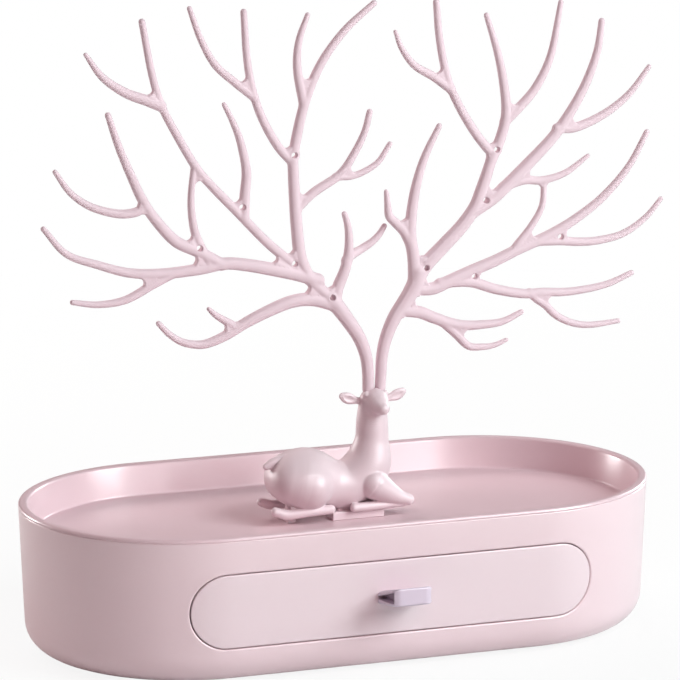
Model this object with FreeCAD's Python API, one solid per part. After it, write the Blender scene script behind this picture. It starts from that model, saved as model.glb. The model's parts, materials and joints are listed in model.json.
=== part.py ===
import FreeCAD, Part
import math
import os

# Jewellery stand: an obround tray box with a drawer, a lying deer on the tray and two plug-in antlers.
# Millimetres, +Z up. The origin is on the table, under the middle of the box.
# The drawer opens towards -Y; the deer lies along +X and looks towards -Y.

V = FreeCAD.Vector
os.makedirs("parts", exist_ok=True)

# ---------------------------------------------------------------- driving dimensions

# box
length = 240.0            # overall length of the casing at its top edge
width = 122.0             # overall width of the casing at its top edge
casing_height = 53.1      # casing alone, from its underside to the seam under the tray's lip
rim_height = 1.4          # how far the tray's lip stands above the seam
draft_inset = 2.1         # how much narrower the wall is at the underside, on each side
bottom_radius = 10.5      # rounded edge between wall and underside
wall = 2.2                # casing wall
floor_thickness = 2.4     # casing floor
foot_proud = 0.8          # how far the pads stand below the casing

# tray
lip_width = 3.3           # flat of the lip, from the outside inwards
tray_slope = 2.45         # how far the inner wall leans in between lip and tray floor
tray_depth = 12.0         # from the top of the lip to the tray floor
tray_thickness = 2.2
rebate_wall = 1.2         # casing wall that is left beside the tray's skirt
skirt_depth = 5.0

# drawer
drawer_half_length = 77.5     # of the opening in the casing
drawer_edge = 12.6            # casing left above and below the opening, on average
drawer_rise = 0.6             # the opening sits this far above the casing's middle
drawer_offset = 1.2           # the drawer sits this far right of the middle
front_gap = 0.5               # round the front panel
box_side_room = 9.5           # from the opening's end to the box's side
box_rear_room = 22.0          # box depth is this much less than the casing's width
box_wall = 1.6
box_top_gap = 3.4             # between the box's rim and the tray's underside
box_hold = 26.0               # part of the box that stays inside the casing when it is pulled out
panel_boss_length = 2.2       # stand-off between the front panel and the box

# pull
pull_foot_length = 13.5
pull_foot_height = 4.0
pull_end_length = 16.0
pull_end_height = 6.6
pull_reach = 16.0
pull_rise = 3.2

# screws and pads
post_gap = 20.0               # from the drawer box's side to the screw posts
post_share = 0.213            # a post's distance from the middle line, as a share of the width
screw_shank_radius = 1.4
screw_head_radius = 2.7
screw_head_height = 2.0
thread_gap = 0.05             # between a modelled shank and its pilot hole
pad_radius = 6.0
pad_thickness = 2.0

# deer, measured from the tray floor under its middle
crown_x = 15.0                # middle of the two antlers
crown_height = 47.5
plug_clearance = 0.12

# antlers
peg_radius = 1.55
peg_length = 7.0
peg_clearance = 0.08
peg_offset = 2.35             # each peg's distance from the middle of the crown
earring_hole_radius = 1.1
RING_SPACING = 9.0            # between the rings that shape a branch
TAPER = 1.6                   # a branch keeps its thickness at first and thins towards the tip
web_thickness = 2.6           # flat plate that fills each fork
crotch_radius = 1.2           # round inner edge of that plate
limb_radius = 1.9             # usual radius of the branches at a fork
longest_web = 17.0            # a web is left out where its fork stays too narrow for longer than this
earring_eye_radius = 2.9      # flat ring round each earring hole
shoulder_gap = 0.25           # under each trunk, which stands on its peg

# ---------------------------------------------------------------- places worked out from them

casing_bottom = foot_proud
seam_z = casing_bottom + casing_height
rim_z = seam_z + rim_height
tray_floor_z = rim_z - tray_depth
tray_under_z = tray_floor_z - tray_thickness
end_radius = width / 2
straight = length - width
draft_height = casing_height
drawer_half_height = casing_height / 2 - drawer_edge
drawer_z = casing_bottom + casing_height / 2 + drawer_rise
box_half_width = drawer_half_length - box_side_room
box_depth = width - box_rear_room
drawer_travel = box_depth - box_hold
post_x = box_half_width + post_gap
post_y = width * post_share


def wall_reach(z):
    """Distance of the casing's outside from its middle line at height z."""
    return end_radius - draft_inset * (1 - (z - casing_bottom) / draft_height)


# ---------------------------------------------------------------- shaping helpers

def rounded(corners, place):
    """Closed wire through (u, v, corner radius) corners; place turns (u, v) into a point."""
    flats = []
    edges = []
    count = len(corners)
    for i, (u, v, radius) in enumerate(corners):
        here = V(u, v, 0)
        if radius == 0:
            flats.append((here, here))
            continue
        before = V(corners[i - 1][0], corners[i - 1][1], 0) - here
        after = V(corners[(i + 1) % count][0], corners[(i + 1) % count][1], 0) - here
        before.normalize()
        after.normalize()
        half = before.getAngle(after) / 2
        middle = before + after
        middle.normalize()
        start = here + before * (radius / math.tan(half))
        end = here + after * (radius / math.tan(half))
        top = here + middle * (radius / math.sin(half) - radius)
        edges.append((i, Part.Arc(place(start), place(top), place(end)).toShape()))
        flats.append((start, end))
    arcs = dict(edges)
    loop = []
    for i in range(count):
        if i in arcs:
            loop.append(arcs[i])
        start = flats[i][1]
        end = flats[(i + 1) % count][0]
        if start.distanceToPoint(end) > 1e-6:
            loop.append(Part.makeLine(place(start), place(end)))
    return Part.Wire(Part.__sortEdges__(loop))


def upright(point):
    return V(point.x, 0, point.y)


def around(corners):
    """A wall section (distance from the middle line, z, radius) carried round the obround."""
    face = Part.Face(rounded(corners, upright))
    solids = []
    for side in (1, -1):
        arm = face.copy()
        arm.rotate(V(0, 0, 0), V(0, 0, 1), -90 * side)
        end = arm.revolve(V(0, 0, 0), V(0, 0, 1), 180)
        end.translate(V(side * straight / 2, 0, 0))
        solids.append(end)
        run = arm.copy()
        run.translate(V(-straight / 2, 0, 0))
        solids.append(run.extrude(V(straight, 0, 0)))
    return solids[0].multiFuse(solids[1:]).removeSplitter()


def obround_bar(middle_x, middle_z, half_length, half_height, y_front, y_back):
    """Obround outline in XZ, carried along Y."""
    r = half_height
    corners = [(middle_x - half_length, middle_z - r, r), (middle_x + half_length, middle_z - r, r),
               (middle_x + half_length, middle_z + r, r), (middle_x - half_length, middle_z + r, r)]
    face = Part.Face(rounded(corners, lambda p: V(p.x, y_front, p.y)))
    return face.extrude(V(0, y_back - y_front, 0))


def block(x0, x1, y0, y1, z0, z1):
    return Part.makeBox(x1 - x0, y1 - y0, z1 - z0, V(x0, y0, z0))


def post(radius, x, y, z0, z1):
    return Part.makeCylinder(radius, z1 - z0, V(x, y, z0))


def bar_along_y(radius, x, z, y0, y1):
    return Part.makeCylinder(radius, y1 - y0, V(x, y0, z), V(0, 1, 0))


def upright_edges(shape):
    """Straight edges that run along Z."""
    return [e for e in shape.Edges
            if e.Curve.TypeId == "Part::GeomLine" and abs(e.Vertexes[0].X - e.Vertexes[1].X) < 1e-6
            and abs(e.Vertexes[0].Y - e.Vertexes[1].Y) < 1e-6]


def place_ring(centre, tangent, side, radius, flat=1.0):
    """Circle square to the tangent, or an ellipse flattened along side by the share flat (1 or less)."""
    tangent.normalize()
    across = tangent.cross(side)
    across.normalize()
    thin = across.cross(tangent)
    if flat == 1:
        curve = Part.Circle(centre + across * radius, centre + thin * radius, centre - across * radius)
    else:
        curve = Part.Ellipse(centre + across * radius, centre + thin * radius * flat, centre)
    return Part.Wire(curve.toShape())


def tangent_at(line, point):
    return V(*line.tangent(line.parameter(point))[0])


def smooth_line(points):
    line = Part.BSplineCurve()
    line.interpolate(points)
    return line


def twig(line, start_radius, tip_radius):
    """Round bar along the line: evenly spaced rings, then half a ball on the tip."""
    count = max(5, round(line.length() / RING_SPACING))
    centres = line.discretize(Number=count)
    rings = []
    for i, centre in enumerate(centres):
        radius = tip_radius + (start_radius - tip_radius) * (1 - (i / (count - 1)) ** TAPER)
        rings.append(place_ring(centre, tangent_at(line, centre), V(0, 1, 0), radius))
    bar = Part.makeLoft(rings, True, False, False)
    return bar.fuse(Part.makeSphere(tip_radius, centres[-1], tangent_at(line, centres[-1]), 0, 90, 360))


def join(shapes):
    whole = shapes[0]
    for shape in shapes[1:]:
        whole = whole.fuse(shape)
    whole = whole.removeSplitter()
    return whole.Solids[0] if len(whole.Solids) == 1 else whole


def save(name, shape):
    shape.exportStep("parts/" + name + ".step")


# ---------------------------------------------------------------- casing
# Open tub moulded in one piece: drafted wall, rounded underside, drawer opening, guides and screw bosses.

inside_floor_z = casing_bottom + floor_thickness
rebate_z = seam_z - skirt_depth - 0.3
rebate_reach = end_radius - rebate_wall

casing_outline = [(0, casing_bottom, 0), (wall_reach(casing_bottom), casing_bottom, bottom_radius),
                  (end_radius, seam_z, 0.4)]
casing_hollow = [(rebate_reach, seam_z, 0), (rebate_reach, rebate_z, 0),
                 (wall_reach(rebate_z) - wall, rebate_z, 0),
                 (wall_reach(inside_floor_z) - wall, inside_floor_z, bottom_radius - wall),
                 (0, inside_floor_z, 0)]
casing = around(casing_outline + casing_hollow)

opening = obround_bar(drawer_offset, drawer_z, drawer_half_length, drawer_half_height,
                      -end_radius - 5, -width / 4)
casing = casing.cut(opening)

# guides: two long runners under the box, two fences beside it
box_left = drawer_offset - box_half_width
box_right = drawer_offset + box_half_width
box_bottom = drawer_z - drawer_half_height + 0.5
runner_top = box_bottom - 0.2
box_front_y = -wall_reach(drawer_z) + wall + panel_boss_length
box_back_y = box_front_y + box_depth
guide_front_y = -end_radius + wall + 3
fence_gap = 0.5
guides = []
for x in (box_left + 14, box_right - 14):
    guides.append(block(x - 1.2, x + 1.2, guide_front_y, box_back_y, inside_floor_z - 0.5, runner_top))
fence_thickness = 1.6
for x0 in (box_left - fence_gap - fence_thickness, box_right + fence_gap):
    guides.append(block(x0, x0 + fence_thickness, guide_front_y + 6, box_back_y - 12, inside_floor_z - 0.5,
                        box_bottom + 8))

# four screw bosses, hollow from below, with a clearance hole for the shank
boss_top = drawer_z
boss_radius = screw_head_radius + 2.0
well_top = boss_top - 5.0
post_places = [(x, y) for x in (post_x, -post_x) for y in (post_y, -post_y)]
bosses = [post(boss_radius, x, y, inside_floor_z - 0.5, boss_top) for x, y in post_places]
casing = join([casing] + guides + bosses)
pad_recess = pad_thickness - foot_proud
head_room = 0.4
hole_room = 0.3
pad_room = 0.2
for x, y in post_places:
    casing = casing.cut(post(screw_head_radius + head_room, x, y, casing_bottom - 1, well_top))
    casing = casing.cut(post(screw_shank_radius + hole_room, x, y, casing_bottom - 1, boss_top + 1))
    casing = casing.cut(post(pad_radius + pad_room, x, y, casing_bottom - 1, casing_bottom + pad_recess))
save("casing", casing)

# ---------------------------------------------------------------- tray
# Moulded top: rounded lip on the casing's edge, skirt inside the rebate, leaning inner wall and sunk floor.

lip_reach = end_radius
skirt_reach = rebate_reach - 0.15
floor_reach = end_radius - lip_width - tray_slope
tray_section = [(0, tray_under_z, 0), (floor_reach + tray_thickness - 0.3, tray_under_z, 1.5),
                (end_radius - wall - 0.8, seam_z - skirt_depth, 0), (skirt_reach, seam_z - skirt_depth, 0),
                (skirt_reach, seam_z, 0), (lip_reach, seam_z, 0.3), (lip_reach, rim_z, 1.0),
                (end_radius - lip_width, rim_z, 1.4), (floor_reach, tray_floor_z, 1.0), (0, tray_floor_z, 0)]
tray = around(tray_section)

# posts for the screws, stop ribs for the drawer, two sockets for the deer's blocks
stop_back_y = -end_radius + wall + 9.0
stop_rib = 2.0
stop_depth = 3.0
post_radius = screw_shank_radius + 2.0
tray_posts = [post(post_radius, x, y, boss_top, tray_under_z + 0.5) for x, y in post_places]
stop_x = (box_left + 3, box_right - 3)
ribs = [block(x - 5, x + 5, stop_back_y - stop_rib, stop_back_y,
              tray_under_z - stop_depth, tray_under_z + 0.5) for x in stop_x]

# the deer's blocks and plugs, in the deer's own place on the floor
front_block = (-3.5, 16.8, -6.2, 5.0)
rear_block = (-20.4, -17.0, -3.6, 5.0)
block_height = 3.2
riser_inset = 3.0             # the narrower riser between a block and the belly
riser_top = 11.0
plug_inset = 2.2
socket_wall = 1.2
socket_depth = tray_thickness + stop_depth - 0.9
plug_length = socket_depth - 0.4


def plug_of(foot, grow):
    """Plan of the plug under a block: x0, x1, y0, y1."""
    inset = min(plug_inset, (foot[1] - foot[0]) / 4)
    return (foot[0] + inset - grow, foot[1] - inset + grow,
            foot[2] + plug_inset - grow, foot[3] - plug_inset + grow)


sockets = []
socket_holes = []
for foot in (front_block, rear_block):
    x0, x1, y0, y1 = plug_of(foot, plug_clearance)
    w = socket_wall
    sockets.append(block(x0 - w, x1 + w, y0 - w, y1 + w, tray_under_z - stop_depth, tray_under_z + 0.5))
    socket_holes.append(block(x0, x1, y0, y1, tray_floor_z - socket_depth, tray_floor_z + 1))
tray = join([tray] + tray_posts + ribs + sockets)
pilot_top = tray_under_z - 1.0
for hole in socket_holes:
    tray = tray.cut(hole)
for x, y in post_places:
    tray = tray.cut(post(screw_shank_radius + thread_gap, x, y, boss_top - 1, pilot_top))
save("tray", tray)

# ---------------------------------------------------------------- tray screws and pads

shank_end = pilot_top - 1.0


def screw(x, y, z, length, axis):
    """Pan-head screw: z is under the head, axis the way the shank points."""
    head = Part.makeCylinder(screw_head_radius, screw_head_height, V(x, y, z), axis * -1)
    rim = [e for e in head.Edges if e.Curve.TypeId == "Part::GeomCircle"
           and (e.Curve.Center - V(x, y, z)).Length > screw_head_height / 2]
    head = head.makeFillet(0.8, rim)
    shank = Part.makeCylinder(screw_shank_radius, length, V(x, y, z), axis)
    return join([head, shank])


tray_screws = [screw(x, y, well_top, shank_end - well_top, V(0, 0, 1)) for x, y in post_places]
save("tray_screws", Part.makeCompound(tray_screws))

pads = {"foot_front_left": (-post_x, -post_y), "foot_front_right": (post_x, -post_y),
        "foot_rear_left": (-post_x, post_y), "foot_rear_right": (post_x, post_y)}
for name, (x, y) in pads.items():
    pad = post(pad_radius, x, y, 0, pad_thickness)
    lower = [e for e in pad.Edges if e.Curve.TypeId == "Part::GeomCircle" and e.Curve.Center.z < 0.1]
    save(name, pad.makeFillet(0.4, lower))

# ---------------------------------------------------------------- drawer front
# Obround panel cut from the same drafted wall, so that it lies flush, with four bosses behind it.

wall_solid = around([(0, casing_bottom, 0), (wall_reach(casing_bottom), casing_bottom, 0),
                     (end_radius, seam_z, 0), (0, seam_z, 0)])
core_solid = around([(0, casing_bottom - 1, 0), (wall_reach(casing_bottom) - wall, casing_bottom - 1, 0),
                     (end_radius - wall, seam_z + 1, 0), (0, seam_z + 1, 0)])
panel = obround_bar(drawer_offset, drawer_z, drawer_half_length - front_gap, drawer_half_height - front_gap,
                    -end_radius - 5, -width / 4).common(wall_solid).cut(core_solid)
screw_x = 44.0
screw_margin = 7.45           # from the opening's long edge to the panel's screws
screw_z = drawer_half_height - screw_margin
pull_screw_x = 4.2
small_shank_radius = screw_shank_radius * 0.6
box_hole_radius = screw_shank_radius + 0.1
panel_points = [(drawer_offset + sx * screw_x, drawer_z + sz * screw_z) for sx in (1, -1) for sz in (1, -1)]
pull_points = [(-pull_screw_x, drawer_z), (pull_screw_x, drawer_z)]
boss_front_y = -wall_reach(drawer_z - drawer_half_height) + 1.2
panel_bosses = [bar_along_y(2.6, x, z, boss_front_y, box_front_y) for x, z in panel_points + pull_points]
panel = join([panel] + panel_bosses)
for x, z in panel_points:
    panel = panel.cut(bar_along_y(small_shank_radius + thread_gap, x, z, boss_front_y + 0.4, box_front_y + 1))
for x, z in pull_points:
    panel = panel.cut(bar_along_y(box_hole_radius, x, z, -end_radius - 5, box_front_y + 1))
save("drawer_front", panel)

# ---------------------------------------------------------------- drawer box
# Open box with rounded rear corners and edges, screw holes in its front wall, a stop tab on each side wall.

box_rim_z = tray_under_z - box_top_gap
outer = block(box_left, box_right, box_front_y, box_back_y, box_bottom, box_rim_z)
rear_corners = [e for e in upright_edges(outer) if e.Vertexes[0].Y > box_back_y - 1]
outer = outer.makeFillet(8.0, rear_corners)
lower_edges = [e for e in outer.Edges
               if e.BoundBox.ZMax < box_bottom + 0.1 and e.BoundBox.YMax > box_front_y + 1]
outer = outer.makeFillet(3.0, lower_edges)
inner = block(box_left + box_wall, box_right - box_wall, box_front_y + box_wall, box_back_y - box_wall,
              box_bottom + box_wall, box_rim_z + 5)
inner = inner.makeFillet(8.0 - box_wall, [e for e in upright_edges(inner) if e.Vertexes[0].Y > 0])
inner = inner.makeFillet(1.5, [e for e in inner.Edges if e.BoundBox.ZMax < box_bottom + box_wall + 0.1])
drawer_box = outer.cut(inner)
tab_front_y = stop_back_y + drawer_travel + 0.3
tab_top = tray_under_z - 0.6
tabs = [block(x0, x0 + box_wall, tab_front_y, tab_front_y + 9, box_rim_z - 1, tab_top)
        for x0 in (box_left, box_right - box_wall)]
drawer_box = join([drawer_box] + tabs)
for x, z in panel_points + pull_points:
    drawer_box = drawer_box.cut(bar_along_y(box_hole_radius, x, z, box_front_y - 1,
                                            box_front_y + box_wall + 1))
save("drawer_box", drawer_box)

# ---------------------------------------------------------------- drawer screws


def small_screw(x, z, tip_y, shank):
    """Screw driven from inside the box towards the front."""
    seat_y = box_front_y + box_wall
    head = bar_along_y(2.4, x, z, seat_y, seat_y + 1.4)
    rim = [e for e in head.Edges if e.Curve.TypeId == "Part::GeomCircle" and e.Curve.Center.y > seat_y + 1]
    return join([head.makeFillet(0.6, rim), bar_along_y(shank, x, z, tip_y, seat_y)])


save("drawer_front_screws", Part.makeCompound(
    [small_screw(x, z, boss_front_y + 0.8, small_shank_radius) for x, z in panel_points]))

# ---------------------------------------------------------------- drawer pull
# Flared bar that grows and rises from its foot on the panel, with a wedge-shaped hollow in each end.

pull_y = -wall_reach(drawer_z)


def pull_ring(y, half_length, half_height, z):
    radius = half_height * 0.75
    corners = [(-half_length, z - half_height, radius), (half_length, z - half_height, radius),
               (half_length, z + half_height, radius), (-half_length, z + half_height, radius)]
    return rounded(corners, lambda p: V(p.x, y, p.y))


rings = []
for t in (0.0, 0.35, 0.7, 0.93):
    pull_length = pull_foot_length + (pull_end_length - pull_foot_length) * t
    pull_height = pull_foot_height + (pull_end_height - pull_foot_height) * t ** 0.8
    rings.append(pull_ring(pull_y + 0.5 - (pull_reach + 0.5) * t, pull_length / 2, pull_height / 2,
                           drawer_z + pull_rise * t))
pull_rounding = 0.8
rings.append(pull_ring(pull_y - pull_reach, pull_end_length / 2 - pull_rounding,
                       pull_end_height / 2 - pull_rounding, drawer_z + pull_rise))
pull = Part.makeLoft(rings, True, True, False).cut(wall_solid)
for side in (1, -1):
    tip_x = side * (pull_foot_length / 2 - 2.6)
    mouth_x = side * (pull_end_length / 2 + 1)
    back = pull_y - 1.2
    front = pull_y - pull_reach * 0.86
    rise = pull_rise * 0.86
    near = Part.makePolygon([V(mouth_x, back, drawer_z - 0.4), V(mouth_x, front, drawer_z + rise - 1.7),
                             V(mouth_x, front, drawer_z + rise + 1.5), V(mouth_x, back, drawer_z + 0.4),
                             V(mouth_x, back, drawer_z - 0.4)])
    pull = pull.cut(Part.Face(near).extrude(V(tip_x - mouth_x, 0, 0)))
pilot_y = pull_y - 7.0
for x, z in pull_points:
    pull = pull.cut(bar_along_y(screw_shank_radius + thread_gap, x, z, pilot_y, pull_y + 1))
save("drawer_handle", pull)
pull_screws = [small_screw(x, z, pilot_y + 0.8, screw_shank_radius) for x, z in pull_points]
save("handle_screws", Part.makeCompound(pull_screws))

# ---------------------------------------------------------------- deer
# One solid moulding: body and neck as one loft, then head, ears, legs, tail and two blocks with plugs.


def deer_point(x, y, z):
    """Deer measures: x along its body, y across it, z above the tray floor."""
    return V(x, y, tray_floor_z + z)


# rings of a rounded end: how far past the last station, and how thick, both as shares of its radius
ROUNDED_END = ((0.5, 0.87), (0.82, 0.57), (0.97, 0.24))


def deer_limb(stations, flats=None):
    """Round or oval shape through (x, y, z, radius) stations, rounded at both ends."""
    flats = flats or [1.0] * len(stations)
    points = [deer_point(x, y, z) for x, y, z, r in stations]
    line = smooth_line(points)
    rings = []
    for point, station, flat in zip(points, stations, flats):
        rings.append(place_ring(point, tangent_at(line, point), V(0, 1, 0), station[3], flat))
    for reach, share in ROUNDED_END:
        for i, sense in ((0, -1), (-1, 1)):
            radius = stations[i][3]
            ahead = tangent_at(line, points[i]) * sense
            centre = points[i] + ahead * (radius * reach)
            ring = place_ring(centre, ahead * sense, V(0, 1, 0), radius * share, flats[i])
            rings.insert(0 if i == 0 else len(rings), ring)
    return Part.makeLoft(rings, True, False, False)


body = deer_limb([(-21.6, 0, 16.4, 5.0), (-19, 0, 16.3, 8.6), (-12.6, 0, 16, 11.2), (-3, 0, 13, 9.3),
                  (5, 0, 12.6, 9.0), (12.2, 0, 18.6, 8.7), (14, 0, 27.5, 6.4), (14.2, 0, 35, 5.9),
                  (14.4, 0, 41.5, 5.2)],
                 flats=[0.95, 0.95, 0.98, 0.98, 0.97, 0.95, 0.95, 0.97, 0.98])
head = deer_limb([(14.6, 2.2, 43.2, 3.8), (14.6, -1, 43.6, 4.7), (14.8, -4.4, 43.1, 4.1),
                  (15.1, -6.8, 42.3, 3.1), (15.4, -8.6, 41.7, 2.4)])
haunches = [deer_limb([(-18.2, s * 4.6, 15.4, 8.1), (-12.4, s * 5.8, 14, 8.7)]) for s in (1, -1)]
hind_shins = [deer_limb([(-5.2, s * 8.6, 5.2, 1.75), (-14, s * 8.5, 4.9, 1.8), (-22, s * 8.2, 4.5, 1.9),
                         (-26.6, s * 7.8, 5.9, 1.7)]) for s in (1, -1)]
shoulders = [deer_limb([(12.4, s * 5.4, 12.9, 6.0), (17.6, s * 6.2, 9.6, 4.3), (22, s * 6.8, 7.3, 2.9),
                        (26, s * 7, 5.9, 2.2)]) for s in (1, -1)]
forearms = [deer_limb([(24.2, s * 6.6, 4.9, 1.6), (15, s * 7, 4.7, 1.6), (4.4, s * 7.6, 4.8, 1.7)])
            for s in (1, -1)]
head_x = 14.6
ear_stations = ((3.0, 43.0, 1.5), (6.2, 43.4, 1.35), (9.8, 44.5, 2.15), (11.9, 45.5, 1.4))
ear_flats = [0.8, 0.55, 0.5, 0.6]
ear_hollow_share = 0.62
ears = []
for s in (1, -1):
    ear = deer_limb([(head_x + s * x, 0.4, z, r) for x, z, r in ear_stations], ear_flats)
    inner = [(head_x + s * x, -0.9, z, r * ear_hollow_share) for x, z, r in ear_stations[1:]]
    hollow = deer_limb(inner, ear_flats[1:])
    ears.append(ear.cut(hollow))
brows = [Part.makeSphere(1.2, deer_point(head_x + s * 3.7, -2.4, 45.9)) for s in (1, -1)]
tail = deer_limb([(-20.5, 0, 23.4, 1.9), (-24.4, 0, 22.8, 1.7), (-27.4, 0, 21.3, 1.2)], flats=[0.8, 0.7, 0.8])
blocks = []
for foot in (front_block, rear_block):
    x0, x1, y0, y1 = foot
    blocks.append(block(x0, x1, y0, y1, tray_floor_z, tray_floor_z + block_height))
    inset = min(riser_inset, (x1 - x0) / 4)
    blocks.append(block(x0 + inset, x1 - inset, y0 + riser_inset, y1 - riser_inset, tray_floor_z + 1,
                        tray_floor_z + riser_top))
    x0, x1, y0, y1 = plug_of(foot, 0)
    blocks.append(block(x0, x1, y0, y1, tray_floor_z - plug_length, tray_floor_z + 1))
deer = join([body, head] + haunches + hind_shins + shoulders + forearms + ears + brows + [tail] + blocks)
crown_z = tray_floor_z + crown_height
seat_radius = 2.8             # flat seat cut round each socket
for side in (1, -1):
    socket_x = crown_x + side * peg_offset
    deer = deer.cut(post(peg_radius + peg_clearance, socket_x, 0, crown_z - peg_length, crown_z + 3))
    deer = deer.cut(post(seat_radius, socket_x, 0, crown_z - shoulder_gap, crown_z + 8))
save("deer", deer)

# ---------------------------------------------------------------- antlers
# Two flat branching mouldings. Every branch is a tapering bar through a few points, measured from the crown.
# (start radius, tip radius, points (right, up) or (right, up, back)).

LEFT_BRANCHES = {
    "trunk": (2.15, 3.05, [(-peg_offset, 0), (-2.4, 6), (-3.2, 12.5), (-6, 20), (-11.6, 28.4),
                           (-17.2, 35.7)]),
    "riser": (2.4, 1.95, [(-17.5, 35.5), (-24.8, 42.9), (-28.6, 51), (-30, 61), (-31, 75), (-31.7, 90.1)]),
    "top_right": (1.95, 1.17, [(-31.6, 88), (-29.9, 97), (-27.1, 107.9), (-23.1, 117.8), (-18.2, 126.1),
                               (-10.5, 135.1), (0, 143.7)]),
    "top_right_twig": (1.8, 0.98, [(-27.3, 108), (-29.7, 121), (-29.1, 131), (-25.7, 140.6)]),
    "top_left": (1.67, 1.23, [(-31.8, 86.8), (-37.4, 93.2), (-43, 103.1), (-46.8, 113.7), (-49, 126),
                              (-50.1, 142.8)]),
    "top_left_twig": (1.6, 1, [(-46.4, 111.6), (-53.9, 117.6), (-61.2, 124.3), (-66.6, 134), (-70.6, 145)]),
    "inner": (1.77, 1.16, [(-30.8, 69), (-23.4, 75.3), (-13.6, 81.1), (-8.5, 87.5), (-3.9, 95.9),
                           (-1.7, 103.8)]),
    "inner_twig": (1.31, 0.98, [(-15, 80.5), (-9.4, 80.3), (-4.1, 81.7), (1.7, 85.1), (6.2, 91.5)]),
    "outer": (1.8, 1.25, [(-25.5, 42.9), (-33, 50.2), (-42, 58.2), (-53.1, 69.9), (-63.1, 80.4),
                          (-69.1, 87.9), (-78.1, 103.5), (-82.2, 112.3), (-85.2, 123), (-88.5, 141.1)]),
    "outer_upright": (2, 0.89, [(-50.5, 68), (-50.1, 76), (-49.5, 85), (-51.8, 96), (-54.7, 103.4),
                                (-57.8, 109.6)]),
    "outer_twig": (2.08, 0.86, [(-81.7, 110.3), (-87, 112.6), (-95.1, 115.9), (-103.5, 121.9),
                                (-109.6, 130.3)]),
    "link": (1.16, 1.99, [(-69.4, 88), (-70.6, 77), (-70.3, 69), (-68.7, 61.6), (-64.5, 52.1)]),
    "low": (2.52, 1.06, [(-22, 42.5), (-29.1, 44.9), (-38, 47.3), (-49, 49.9), (-58, 51.1), (-68, 49.7),
                         (-81, 49), (-94, 50.1), (-106.2, 53.9), (-117.9, 58.7), (-126.2, 68.3)]),
    "low_twig": (1.74, 1.01, [(-77, 49.1), (-85.1, 45.4), (-95.6, 40.4), (-106, 39.3), (-115.8, 40.8)]),
    "low_upper": (2.26, 1.16, [(-59.2, 50.9), (-68.1, 56.2), (-76.9, 60.8), (-84.6, 69.5), (-89, 76.4),
                               (-92.7, 84.4), (-97.6, 96.1), (-101.6, 108.1)]),
    "low_upper_twig": (1.72, 0.94, [(-88.2, 73.8), (-92.3, 72.1), (-99, 72.2), (-108.7, 75.4),
                                    (-116.1, 80.9), (-121.6, 88.7)]),
    "hanging": (2.55, 1.05, [(-14.5, 32.5), (-23.5, 35.3), (-31.5, 35.3), (-39.9, 32.8), (-49.9, 28.6),
                             (-57.7, 24.4), (-65, 21.9), (-69.8, 21.9), (-75, 23.4), (-79.7, 26.7),
                             (-83.4, 30.7)]),
    "hanging_twig": (1.65, 0.87, [(-53.5, 27), (-58.2, 30), (-61.7, 32.3), (-64.2, 34.7)]),
    "middle": (2.29, 1.07, [(-15.5, 32.5), (-14.2, 39.2), (-11.7, 44.9), (-10.2, 50.5), (-9.8, 56.3),
                            (-10.3, 62), (-11.6, 66.5)]),
    "middle_twig": (1.73, 1.06, [(-11.1, 49.1, 0), (-7.5, 51.1, 1.5), (-3.6, 52.5, 3), (0.6, 55, 3),
                                 (3.3, 57.6, 3), (5.1, 60.4, 3)]),
}
LEFT_HOLES = [(-31.4, 89.6), (-51.4, 71.7), (-67.9, 57.6), (-31.4, 49.4), (-17.1, 36)]

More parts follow.
